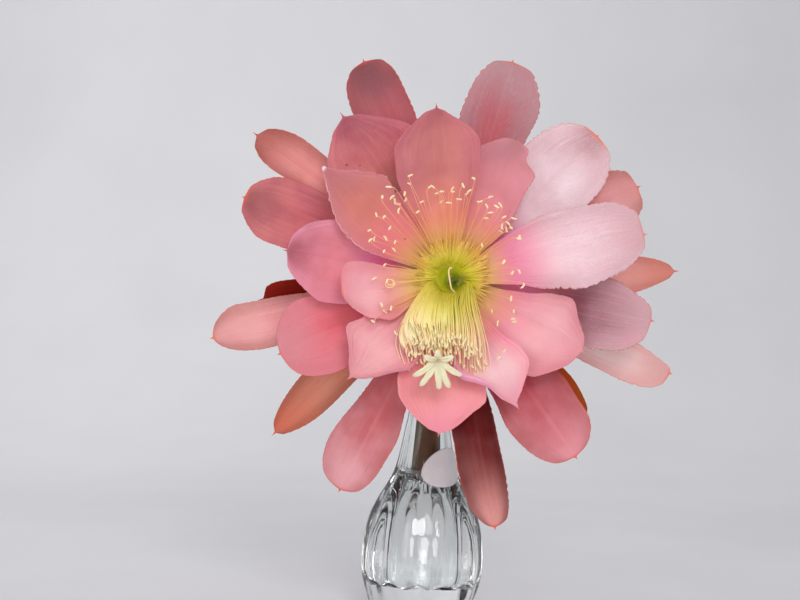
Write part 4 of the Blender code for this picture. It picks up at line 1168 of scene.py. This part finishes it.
def bundle_path(across, layer, reel, lift, shift):
    """Centre line of a filament of the lower bundle; across runs from -1 (left) to 1."""
    spread = abs(across)
    start = ray(math.radians(270 + 84 * across)) * (0.0056 + shift)
    drop = -0.0212 - 0.0031 * layer + 0.0024 * reel
    drop += 0.0004 * spread ** 2 if across < 0 else -0.0050 * spread ** 1.5
    reach = (0.0104 + 0.0018 * layer) * (1.02 if across < 0 else 1.06)
    tip = np.array((-0.0024 + across * reach, drop, 0.0))
    front = 0.0345 - 0.0029 * layer - 0.0040 * spread
    lift = 0.0007 * lift
    wide = tip[0] - (0.0022 * spread if across < 0 else 0.0004 * spread)
    return np.array([
        start + (0, 0, -0.0042),
        start + (0, -0.0002, 0.0018),
        start * 0.8 + np.array((wide * 0.24, tip[1] * 0.05 - 0.0006, 0.0105 - 0.0012 * layer + lift)),
        (wide * 0.80, tip[1] * 0.40 - 0.0004, front * 0.74 + lift),
        (wide, tip[1] * 0.74, front * 0.95 + lift),
        tip + (0, 0, front + lift),
    ])


def lower_bundle(threads, sacs, draw):
    """Four layers of threads, from the front one back."""
    for layer, count in enumerate(BUNDLE_COUNTS):
        for k in range(count):
            across = 2 * (k + 0.5) / count - 1 + draw.uniform(-0.02, 0.02)
            path = bundle_path(
                across, layer, draw.uniform(-1, 1), draw.uniform(-1, 1),
                draw.uniform(-0.0004, 0.0004),
            )
            lean = (draw.uniform(-0.35, 0.35) + 0.2 * across, -1.0, draw.uniform(-0.1, 0.5))
            filament(threads, sacs, path, lean, draw, BUNDLE_THREAD, LOWER)


def fused_sheet(threads, paths, parts, half, tint, tones, painted_shade_shift=None):
    """Filaments grown together near their feet: a thin ridged sheet through their centre lines."""
    lines = []
    for k, (path, part) in enumerate(zip(paths, parts)):
        flat = catmull(path, 8)
        picks = np.linspace(0, part * (len(flat) - 1), SHEET_ROWS)
        line = np.stack([np.interp(picks, np.arange(len(flat)), flat[:, c]) for c in range(3)], -1)
        line[:, 2] += 0.00004 * math.cos(k * math.pi)
        lines.append(line)
    lines = np.array(lines)
    reach = np.hypot(lines[..., 0], lines[..., 1]) * 1000
    # Painted shade: near the throat the colour is taken from further in, a darker olive green, where the
    # feet of the lower bundle shade the web
    if painted_shade_shift is not None:
        reach = reach - np.asarray(painted_shade_shift)[:, None] * smooth(12.0, 5.0, reach)
    thick = 2 * half * np.linspace(1.0, 0.4, SHEET_ROWS)[None, :, None]
    threads.add(
        *sheet(bloom_frame(lines), thick), along=0.3, tint=tint,
        tone=np.tile(np.repeat(tones, SHEET_ROWS), 2), reach=np.tile(reach.ravel(), 2),
    )


def fused_feet(threads, draw):
    """Where they leave the throat the filaments are fused to ridged sheets."""
    for layer, strength in enumerate((0.78, 1.0, 0.94)):
        spans = np.linspace(-0.99, 0.99, 97)
        paths = [bundle_path(across, layer + 0.1, 0.0, 0.55, 0.0) for across in spans]
        parts = 0.50 + 0.46 * smooth(0.50, -0.05, spans) * strength
        parts = [
            part + 0.03 * math.sin(k * 2.1) + draw.uniform(-0.08, 0.06) for k, part in enumerate(parts)
        ]
        tones = [0.2 + 0.8 * draw.random() ** 2 for _ in spans]
        fused_sheet(threads, paths, parts, 0.00012, LOWER, tones)
    turns = WEB_START + WEB_SPAN * np.arange(WEB_THREADS) / (WEB_THREADS - 1)
    up = 0.5 + 0.5 * np.sin(np.radians(turns))
    # Painted shade on the web's lower right, by the feet of the lower bundle, in mm of reach
    painted_shade_shift = 5.5 * np.exp(-((turns + 16) / 30) ** 2)
    for level, grown in enumerate((0.50, 0.55, 0.60)):
        tip = bell(WEB_REACH, FRONT_LAYER) + 0.0034 - 0.0016 * level
        sunk = 0.0003 * level
        out = WEB_REACH - FOOT_RING
        paths = []
        for turn in turns:
            aim = ray(math.radians(turn))
            paths.append(np.array([
                stand(aim, 0.0030, -0.0031 - sunk),
                stand(aim, 0.0046, -0.00085 - sunk),
                stand(aim, 0.0064, 0.0015 - sunk),
                stand(aim, FOOT_RING + 0.26 * out, fan_height(0.26, tip) - 0.0009 * level),
                stand(aim, FOOT_RING + 0.64 * out, fan_height(0.64, tip) - 0.0004 * level),
                stand(aim, WEB_REACH, tip),
            ]))
        jags = [
            (0.0, 0.040, -0.030, 0.016)[k % 4] + 0.055 * draw.uniform(-1, 1)
            for k in range(WEB_THREADS)
        ]
        parts = [grown + 0.03 * share + jag for share, jag in zip(up, jags)]
        tones = [0.1 + 0.9 * draw.random() ** 2 for _ in turns]
        fused_sheet(threads, paths, parts, 0.00009, UPPER, tones, painted_shade_shift)


def throat_curl(threads):
    """One short pale curl that stands in the open throat."""
    path = catmull([
        (0.0016, -0.0052, 0.0058), (0.0008, -0.0045, 0.0068), (0.0003, -0.0038, 0.0076),
        (-0.0002, -0.0014, 0.0084), (-0.0007, 0.0018, 0.0092), (-0.0004, 0.0034, 0.0096),
        (0.0005, 0.0036, 0.0094),
    ], 6)
    share = np.linspace(0, 1, len(path))
    sides = 10
    threads.add(
        *tube(bloom_frame(path), 0.00034 - 0.00012 * share, sides), along=ring_values(share, sides),
        tint=LOWER, tone=0.1, reach=34.0,
    )


def coiled_thread(threads, sacs, draw):
    """A coiled filament on the left."""
    aim = ray(math.radians(185))
    height = bell(COIL_REACH, FRONT_LAYER) + 0.0048
    path = [stand(aim, out, w) for out, w in ((0.0058, 0.0014), (0.0105, 0.0070), (0.0170, 0.0140))]
    for share in np.linspace(0, 1, 40):
        angle = math.radians(20 - 610 * share)
        wide = 0.0019 - 0.0010 * share + 0.00045 * math.sin(share * 13)
        path.append(aim * COIL_REACH + (
            wide * math.cos(angle), 0.80 * wide * math.sin(angle), height + 0.0024 * share,
        ))
    filament(threads, sacs, path, (0.4, 0.9, 0.3), draw, COIL_THREAD, LOWER, COIL_SAC_LENGTH)


def thread_look():
    n = Nodes("look_filament")
    reach = n.math("DIVIDE", n.attribute("reach"), 40.0, True)
    fan = n.ramp(reach, [
        (0.02, (112, 128, 2)), (0.10, (196, 198, 34)), (0.14, (224, 218, 54)),
        (0.20, (238, 226, 80)), (0.27, (252, 224, 104)), (0.34, (255, 210, 118)),
        (0.46, (255, 188, 134)), (0.62, (255, 172, 144)), (0.92, (252, 186, 160)),
    ], "LINEAR")
    bundle = n.ramp(reach, [
        (0.12, (192, 202, 38)), (0.19, (224, 224, 78)), (0.30, (242, 234, 112)),
        (0.46, (255, 238, 160)), (0.62, (255, 242, 190)), (0.95, (255, 226, 188)),
    ], "LINEAR")
    colour = n.mix(n.attribute("tint"), fan, bundle)
    warm = n.times(n.step(n.attribute("tone"), 0.40, 1.0, 0.0, 0.55), n.step(reach, 0.36, 0.6))
    colour = n.mix(warm, colour, (255, 186, 144))
    fade = n.noise(n.where(), 420.0, 2.0)
    colour = n.mix(n.step(fade, 0.35, 0.7, 0.0, 0.18), colour, (250, 226, 160))
    return n.finish(
        colour, 0.5, n.bump(n.noise(n.where(), 3000.0), 0.2, 0.0001), Specular_IOR_Level=0.20,
        Subsurface_Weight=0.12, Subsurface_Scale=0.0006, Subsurface_Radius=(1.0, 0.6, 0.35),
    )


def anther_look():
    n = Nodes("look_anther")
    grain = n.noise(n.where(), 5200.0, 3.0, 0.7)
    colour = n.mix(n.step(grain, 0.3, 0.7), (255, 236, 184), (255, 246, 210))
    colour = n.mix(n.times(n.attribute("tint"), 0.45), colour, (255, 230, 166))
    return n.finish(
        colour, 0.75, n.bump(grain, 0.6, 0.0003), Specular_IOR_Level=0.2,
        Subsurface_Weight=0.12, Subsurface_Scale=0.0008, Subsurface_Radius=(1.0, 0.7, 0.45),
    )


def build_stamens():
    draw = random.Random(STAMEN_SEED)
    threads = Heap()
    sacs = Heap()
    upper_fan(threads, sacs, draw)
    lower_bundle(threads, sacs, draw)
    fused_feet(threads, draw)
    throat_curl(threads)
    coiled_thread(threads, sacs, draw)
    place(threads.build("filaments", thread_look()), "stamens")
    place(sacs.build("anthers", anther_look()), "stamens")


def build_bowl():
    """The fused foot of the filaments: a ridged bowl that lines the mouth of the throat."""
    angles = around(BOWL_SIDES)
    profile = catmull([(radius, 0.0, height) for radius, height in BOWL], 3)
    rings = []
    for radius, _, height in profile:
        ridge = 1 + 0.012 * np.cos(48 * angles) * smooth(-0.004, 0.0, height)
        rings.append(np.stack((
            radius * ridge * np.cos(angles), radius * ridge * np.sin(angles),
            np.full(BOWL_SIDES, height),
        ), -1))
    points = bloom_frame(np.concatenate(rings))
    faces = []
    for i in range(len(profile)):
        j = (i + 1) % len(profile)
        for k in range(BOWL_SIDES):
            m = (k + 1) % BOWL_SIDES
            faces.append(tuple(a * BOWL_SIDES + b for a, b in ((i, k), (i, m), (j, m), (j, k))))
    n = Nodes("look_collar")
    # Darkest green at the deepest point, lighter towards the rim: partly the throat's own colour, partly
    # painted shade in the hollow
    colour = n.ramp(n.attribute("axis"), [
        (0.0, (30, 46, 0)), (0.20, (62, 80, 0)), (0.44, (120, 130, 2)), (0.72, (186, 188, 26)),
        (1.0, (220, 214, 56)),
    ])
    streak = n.noise(n.where(), 700.0, 2.0)
    colour = n.mix(n.step(streak, 0.35, 0.7, 0.0, 0.25), colour, (170, 176, 30))
    look = n.finish(
        colour, 0.45, n.bump(streak, 0.3, 0.0002), Subsurface_Weight=0.15, Subsurface_Scale=0.001,
    )
    bowl = mesh_object("stamen_collar", points, faces, look)
    # The darkest point sits low on the right: painted shade where the feet of the lower bundle cover the
    # throat
    deepest = bloom_frame((0.0017, -0.0016, -0.0035))
    apart = np.linalg.norm((points - deepest) * (1.0, 0.6, 1.0), axis=1)
    attribute(bowl, "axis", np.clip(apart / 0.0066, 0, 1))
    place(bowl, "stamens")


def stigma_lobe(heap, turn, length, draw):
    """One lobe of the stigma: a blunt finger with a furrow along its face."""
    forward = np.array((0, -math.sin(STIGMA_TILT), math.cos(STIGMA_TILT)))
    right = np.array((1.0, 0.0, 0.0))
    angle = math.radians(turn)
    out = right * math.cos(angle) + np.cross(forward, right) * math.sin(angle)
    drift = np.cross(out, forward) * draw.uniform(-0.0007, 0.0007)
    path = catmull(bloom_frame([
        STIGMA_CENTRE + out * length * share + forward * lift + drift * bend
        for share, lift, bend in (
            (0.0, -0.0008, 0.0), (0.22, 0.0010, 0.0), (0.55, 0.0024, 0.6), (0.85, 0.0026, 1.0),
            (1.0, 0.0022, 1.0),
        )
    ]), 5)
    x = np.linspace(0, 1, len(path))
    radii = 0.00130 * np.minimum(1, 0.5 + x * 1.6) * (1 - 0.30 * x ** 2)
    radii = radii * np.sqrt(np.maximum(0.03, 1 - x ** 6))
    radii = radii * (1 + 0.07 * np.sin(x * 19 + turn) + 0.04 * np.sin(x * 41 + 2 * turn))
    points, faces = tube(path, radii, LOBE_SIDES, 0.55, bloom_frame(forward) - bloom_frame((0, 0, 0)))
    angles = around(LOBE_SIDES)
    furrow = 0.55 * np.exp(-(np.minimum(angles, 2 * math.pi - angles) / 0.42) ** 2)
    dent = 1 - furrow[None, :, None] * np.sin(math.pi * x)[:, None, None] ** 0.5
    body = points[:-2].reshape(len(path), LOBE_SIDES, 3)
    body = path[:, None] + (body - path[:, None]) * dent
    points = np.concatenate((body.reshape(-1, 3), points[-2:]))
    bumps = np.array([draw.uniform(-0.00005, 0.00005) for _ in points])
    heap.add(points + bumps[:, None], faces, along=ring_values(0.3 + 0.7 * x, LOBE_SIDES))


def build_style():
    draw = random.Random(STYLE_SEED)
    across, up, out = STIGMA_CENTRE
    way = [(0.0, -0.0020, -0.0134), (0.0, -0.0040, -0.0066), (-0.0001, -0.0054, -0.0016)]
    for v in (-0.0070, -0.0135, -0.0205):
        share = (-v - 0.0030) / (-up - 0.0030)
        way.append((across * (v / up) ** 1.1, v, out * share ** 0.92 - 0.0012))
    path = catmull(bloom_frame([*way, STIGMA_CENTRE]), 8)
    share = np.linspace(0, 1, len(path))
    radii = 0.00085 + 0.00055 * smooth(0.9, 1.0, share)
    heap = Heap()
    heap.add(*tube(path, radii, STYLE_SIDES), along=ring_values(share * 0.2, STYLE_SIDES))
    for turn, length in STIGMA_LOBES:
        stigma_lobe(heap, turn, length, draw)
    n = Nodes("look_stigma")
    grain = n.noise(n.where(), 3600.0, 3.0, 0.7)
    colour = n.ramp(n.attribute("along"), [
        (0.0, (150, 156, 20)), (0.05, (196, 188, 60)), (0.2, (236, 214, 140)),
        (0.3, (222, 190, 148)), (0.55, (236, 228, 190)), (1.0, (242, 236, 204)),
    ])
    colour = n.mix(n.step(grain, 0.35, 0.7, 0.0, 0.20), colour, (248, 244, 220))
    look = n.finish(
        colour, 0.6, n.bump(grain, 0.7, 0.0003), Subsurface_Weight=0.25, Subsurface_Scale=0.0015,
        Specular_IOR_Level=0.3,
    )
    place(heap.build("stigma_and_style", look), "style")


def tube_scale(heap, at, ahead, wide, turn):
    """A small pointed bract pressed to the floral tube."""
    base = unit(np.cross(ahead, (0.2, 0.3, 0.9)))
    angle = math.radians(turn)
    outward = base * math.cos(angle) + np.cross(ahead, base) * math.sin(angle)
    across = np.cross(ahead, outward)
    x = (np.arange(SCALE_STEPS + 1) / SCALE_STEPS)[:, None, None]
    q = (np.arange(2 * SCALE_HALF + 1) / SCALE_HALF - 1)[None, :, None]
    arc = (0.0021 * np.sin(math.pi * (0.16 + 0.84 * x)) ** 0.7 + 0.00005) * q
    lift = wide - 0.0010 + 0.0019 * x ** 0.7 + 0.0011 * x ** 3 - arc * arc / (2 * wide)
    grid = at + ahead * (SCALE_LENGTH * x) + across * arc + outward * lift
    if np.dot(normals_of(grid)[5, SCALE_HALF], outward) < 0:
        grid = grid[:, ::-1]
    tall = np.repeat(x, 2 * SCALE_HALF + 1)
    heap.add(*sheet(grid, SCALE_THICK), along=np.tile(tall, 2), inside=0.0, scale=1.0)


def build_floral_tube():
    path = catmull(
        TUBE_PATH + [THROAT + (0, back, 0) for back in (0.0215, 0.0150, 0.0075, 0.0)], 8,
    )
    radii = TUBE_RADII + [0.0069, TUBE_RADIUS, TUBE_RADIUS, TUBE_RADIUS]
    share = np.arange(len(path)) / (len(path) - 1)
    wide = np.interp(np.linspace(0, 1, len(path)), np.linspace(0, 1, len(radii)), radii)
    along, side, over = frames(path, np.array((1.0, 0.0, 0.0)))
    # Outside, with low ribs that end before the mouth
    x = share[:, None]
    swell = 0.022 * np.sin(math.pi * np.minimum(1, x * 1.05)) ** 0.5
    ribs = 1 + np.where(x < 0.95, swell, 0.0) * np.cos(8 * around(TUBE_SIDES) + 1.5 * x)
    # Round the mouth and down the funnel
    slope = (THROAT_RADIUS - THROAT_BACK_RADIUS) / THROAT_DEPTH
    mouth = [(0.0072, -0.00015, 0.3), (0.0069, -0.0002, 0.3), (0.00665, 0.0001, 0.3)]
    for k in range(1, FUNNEL_STEPS + 1):
        back = THROAT_DEPTH * k / FUNNEL_STEPS
        mouth.append((THROAT_RADIUS - slope * back, back, 0.3 + 0.7 * k / FUNNEL_STEPS))
    mouth = np.array(mouth)
    count = len(path) + len(mouth)
    ends = [-1] * len(mouth)
    centres = path[-1] - along[-1] * mouth[:, 1:2]
    points = np.concatenate((
        rings_at(path, side, over, wide[:, None] * ribs, TUBE_SIDES),
        rings_at(centres, side[ends], over[ends], mouth[:, 0], TUBE_SIDES),
        path[:1], centres[-1:],
    ))
    heap = Heap()
    heap.add(
        points, tube_faces(count, TUBE_SIDES),
        along=ring_values(np.concatenate((share, np.ones(len(mouth)))), TUBE_SIDES),
        inside=ring_values(np.concatenate((np.zeros(len(path)), mouth[:, 2])), TUBE_SIDES),
        scale=0.0,
    )
    for index, turn in SCALES:
        tube_scale(heap, path[index], along[index], wide[index], turn)
    n = Nodes("look_floral_tube")
    height = n.attribute("along")
    streak = n.noise(n.where(), 240.0, 4.0, 0.6)
    colour = n.ramp(height, [
        (0.0, (84, 74, 34)), (0.45, (104, 96, 44)), (0.8, (150, 104, 62)), (1.0, (178, 116, 84)),
    ])
    colour = n.mix(n.step(streak, 0.45, 0.75, 0.0, 0.5), colour, (150, 84, 60))
    colour = n.mix(n.step(streak, 0.42, 0.20, 0.0, 0.4), colour, (120, 122, 56))
    leaf = n.ramp(height, [(0.0, (140, 96, 56)), (1.0, (186, 66, 40))])
    colour = n.mix(n.attribute("scale"), colour, leaf)
    inside = n.attribute("inside")
    funnel = n.ramp(inside, [(0.0, (206, 208, 64)), (0.55, (184, 190, 34)), (1.0, (160, 168, 16))])
    colour = n.mix(n.step(inside, 0.02, 0.25), colour, funnel)
    look = n.finish(
        colour, n.step(streak, 0.3, 0.7, 0.42, 0.6), n.bump(streak, 0.4, 0.0004),
        Specular_IOR_Level=0.4, Subsurface_Weight=0.08, Subsurface_Scale=0.001,
    )
    place(heap.build("flower_tube", look), "floral_tube")


def wall_at(height, column=1):
    """Radius of the vase's wall at a height, or the share of the flutes' depth (column 2)."""
    return through([(row[0], row[column]) for row in VASE_WALL], height)


def inner_radius(height):
    """Radius of the inside, which rounds in towards the floor."""
    thick = WALL_BODY + (WALL_NECK - WALL_BODY) * smooth(0.040, 0.070, height)
    share = np.clip(1 - (height - FLOOR_THICKNESS) / 0.006, 0, 1)
    return wall_at(height) - thick - FLOOR_ROUND * share * share


def flute_wave(angles):
    """How deep the flutes are round the vase, from 0 to 1."""
    return 0.5 * (1 - np.cos(FLUTES * angles))


def fluted(radius, height, angles):
    """Ring of the inside of the vase, which follows the flutes softly down to its wavy floor."""
    depth = INNER_FLUTES * FLUTE_DEPTH * wall_at(height, 2) * smooth(0.052, 0.034, height)
    low = np.clip(1 - (height - FLOOR_THICKNESS) / 0.007, 0, 1)
    wave = np.abs(np.sin(FLUTES / 2 * angles + 0.5)) * min(1.0, radius / 0.012)
    return radius - depth * flute_wave(angles), height + FLOOR_SWELL * low * low * wave


def lathe(name, rings, look, sides):
    """Closed body from rings of radii by azimuth; the first and the last close on the axis."""
    angles = around(sides)
    points = [
        np.stack(np.broadcast_arrays(radius * np.cos(angles), radius * np.sin(angles), height), -1)
        for radius, height in rings
    ]
    points.append(np.array([(0, 0, np.mean(height)) for _, height in (rings[0], rings[-1])]))
    return mesh_object(name, np.concatenate(points), tube_faces(len(rings), sides), look)


def build_vase():
    angles = around(VASE_SIDES)
    rings = [(0.004, 0.0003), (0.010, 0.0003), (0.0150, 0.0), (0.0172, 0.0)]
    # Outer wall, its foot rounded off
    low = np.linspace(0, 0.006, 9)
    high = np.linspace(0.0075, LIP_HEIGHT - LIP_EDGE, 92)
    for height in np.concatenate((low, high)):
        radius = wall_at(height)
        if height < FOOT_HEIGHT:
            radius -= FOOT_ROUND * (1 - height / FOOT_HEIGHT) ** 2
        rings.append((radius - FLUTE_DEPTH * wall_at(height, 2) * flute_wave(angles), height))
    lip = wall_at(LIP_HEIGHT)
    for angle in math.pi * np.linspace(0.1, 1.0, 7):
        radius = lip - LIP_ROUND + LIP_ROUND * math.cos(angle)
        rings.append((radius, LIP_HEIGHT - LIP_EDGE + LIP_EDGE * math.sin(angle)))
    # Inner wall and floor
    bottom = FLOOR_THICKNESS + 0.0002
    for height in np.linspace(LIP_HEIGHT - 2 * LIP_EDGE, bottom, 90):
        radius = min(inner_radius(height), lip - LIP_WALL)
        if height > MOUTH_HEIGHT:
            radius = min(radius, wall_at(height) - MOUTH_WALL)
        rings.append(fluted(radius, height, angles))
    for share in (0.93, 0.8, 0.6, 0.3, 0.08):
        rings.append(fluted(inner_radius(bottom) * share, FLOOR_THICKNESS, angles))
    n = Nodes("look_glass")
    swirl = n.noise(n.where(), 60.0, 2.0)
    drawn = n.add("ShaderNodeMapping", {"Vector": n.where(), "Scale": Vector((1.0, 1.0, 0.10))})
    lines = n.noise(drawn, 520.0, 2.0)
    tint = n.mix(n.step(swirl, 0.3, 0.7), (0.955, 0.985, 0.972, 1.0), (0.975, 0.99, 0.985, 1.0))
    look = n.finish(
        tint, 0.015, n.bump(lines, 0.10, 0.0003, n.bump(swirl, 0.08, 0.0008)),
        Transmission_Weight=1.0, IOR=1.5, Specular_IOR_Level=0.5,
    )
    place(lathe("glass_vase", rings, look, VASE_SIDES), "vase")


def build_water():
    angles = around(WATER_SIDES)
    # Round the cut end of the floral tube, up to the surface and out to its raised brim
    cut = TUBE_END - 0.0003
    rings = [(WATER_HOLE * 0.5, cut), (WATER_HOLE, cut), (WATER_HOLE, WATER_LEVEL + MENISCUS)]
    brim = inner_radius(WATER_LEVEL) - WATER_GAP
    for share in (0.15, 0.4, 0.7, 0.9, 0.97):
        radius = WATER_HOLE + (brim - WATER_HOLE) * share
        rings.append((radius, WATER_LEVEL + MENISCUS * (2 * share - 1) ** 4))
    rings.append((brim, WATER_LEVEL + 0.0005))
    bottom = FLOOR_THICKNESS + 0.0004
    for height in np.linspace(WATER_LEVEL, bottom, 60):
        rings.append(fluted(inner_radius(height) - WATER_GAP - 0.0001, height, angles))
    for share in (0.9, 0.6, 0.3, 0.08):
        rings.append(fluted(inner_radius(bottom) * share, FLOOR_THICKNESS + 0.0003, angles))
    n = Nodes("look_water")
    ripple = n.noise(n.where(), 90.0, 2.0)
    tint = n.mix(ripple, (0.975, 0.99, 0.985, 1.0), (0.99, 0.998, 0.992, 1.0))
    look = n.finish(tint, 0.0, n.bump(ripple, 0.05, 0.0005), Transmission_Weight=1.0, IOR=1.33)
    body = lathe("vase_water", rings, look, WATER_SIDES)
    body.data.flip_normals()
    place(body, "water")


def build_label():
    mean = wall_at(LABEL_MIDDLE)
    back, outward, shares = [], [], []
    for i in range(1, LABEL_RINGS + 1):
        share = i / LABEL_RINGS
        for k in range(LABEL_SIDES):
            angle = 2 * math.pi * k / LABEL_SIDES
            a = share * math.cos(angle) * LABEL_WIDTH / 2
            b = share * math.sin(angle) * LABEL_HEIGHT / 2
            along = a * math.cos(LABEL_TURN) - b * math.sin(LABEL_TURN)
            height = LABEL_MIDDLE + (a * math.sin(LABEL_TURN) + b * math.cos(LABEL_TURN))
            # Its left end lifts a little off the glass
            radius = wall_at(height) + LABEL_LIFT
            radius += LABEL_CURL * smooth(0.75, 1.0, share) * max(0.0, -math.cos(angle))
            way = ray(-math.pi / 2 + LABEL_AZIMUTH + along / mean)
            back.append(radius * way + (0, 0, height))
            outward.append(way)
            shares.append(share)
    back = np.array(back)
    points = np.concatenate((back + np.array(outward) * LABEL_THICK, back))
    size = len(back)
    faces = []
    for i in range(LABEL_RINGS - 1):
        for k in range(LABEL_SIDES):
            a, b = i * LABEL_SIDES + k, i * LABEL_SIDES + (k + 1) % LABEL_SIDES
            c, d = a + LABEL_SIDES, b + LABEL_SIDES
            faces.append((a, c, d, b))
            faces.append((a + size, b + size, d + size, c + size))
    faces.append(tuple(range(LABEL_SIDES)))
    faces.append(tuple(size + k for k in reversed(range(LABEL_SIDES))))
    for k in range(LABEL_SIDES):
        a, b = (size - LABEL_SIDES + m % LABEL_SIDES for m in (k, k + 1))
        faces.append((a, a + size, b + size, b))
    n = Nodes("look_label")
    grain = n.noise(n.where(), 1800.0, 4.0, 0.65)
    stain = n.noise(n.where(), 160.0, 2.0)
    colour = n.mix(n.step(grain, 0.3, 0.7), (232, 234, 236), (240, 241, 243))
    colour = n.mix(n.step(stain, 0.4, 0.7, 0.0, 0.3), colour, (218, 220, 226))
    colour = n.mix(n.step(n.attribute("edge"), 0.93, 1.0, 0.0, 0.35), colour, (160, 162, 168))
    look = n.finish(colour, 0.7, n.bump(grain, 0.25, 0.0001), Specular_IOR_Level=0.3)
    made = mesh_object("paper_label", points, faces, look)
    attribute(made, "edge", np.tile(shares, 2))
    place(made, "label")


def lamp(name, at, aim, size, watts, colour):
    data = bpy.data.lights.new(name, "AREA")
    data.shape = "DISK"
    data.size = size
    data.energy = watts
    data.color = colour
    made = bpy.data.objects.new(name, data)
    made.location = at
    made.rotation_euler = (Vector(aim) - Vector(at)).to_track_quat("-Z", "Y").to_euler()
    bpy.context.scene.collection.objects.link(made)


def build_studio():
    """Floor that sweeps up behind into a wall, soft even light and four lamps."""
    profile = [(FLOOR_FRONT, 0.0), (SWEEP, 0.0)]
    for k in range(1, SWEEP_STEPS + 1):
        angle = math.pi / 2 * k / SWEEP_STEPS
        profile.append((SWEEP + SWEEP * math.sin(angle), SWEEP - SWEEP * math.cos(angle)))
    profile.append((2 * SWEEP, BACKDROP_HEIGHT))
    points = [(x, y, z) for x in (-FLOOR_HALF, FLOOR_HALF) for y, z in profile]
    count = len(profile)
    faces = [(i, i + count, i + 1 + count, i + 1) for i in range(count - 1)]
    n = Nodes("look_floor")
    tone = n.noise(n.where(), 5.0, 3.0)
    colour = n.mix(n.step(tone, 0.3, 0.7), (234, 235, 238), (240, 241, 243))
    look = n.finish(colour, 0.8, n.bump(n.noise(n.where(), 300.0), 0.03, 0.001))
    floor = mesh_object("studio_floor", points, faces, look)

    world = bpy.data.worlds.new("studio")
    bpy.context.scene.world = world
    world.use_nodes = True
    air = world.node_tree.nodes["Background"]
    air.inputs[0].default_value = AIR_COLOUR
    air.inputs[1].default_value = AIR_LIGHT
    for row in LAMPS:
        lamp(*row)


def build_camera():
    """Camera level with the bloom, a little to its left and rolled with it."""
    data = bpy.data.cameras.new("view")
    data.lens = LENS
    data.sensor_width = 36.0
    data.clip_start = 0.02
    camera = bpy.data.objects.new("view", data)
    camera.matrix_world = (
        Matrix.Translation(CAMERA_PLACE)
        @ Matrix.Rotation(math.radians(90), 4, "X")
        @ Matrix.Rotation(CAMERA_ROLL, 4, "Z")
    )
    bpy.context.scene.collection.objects.link(camera)
    bpy.context.scene.camera = camera


bpy.context.scene.view_settings.view_transform = "Standard"
build_camera()
build_studio()
build_vase()
build_water()
build_label()
build_floral_tube()
for tepal in TEPALS:
    build_tepal(tepal)
build_stamens()
build_bowl()
build_style()
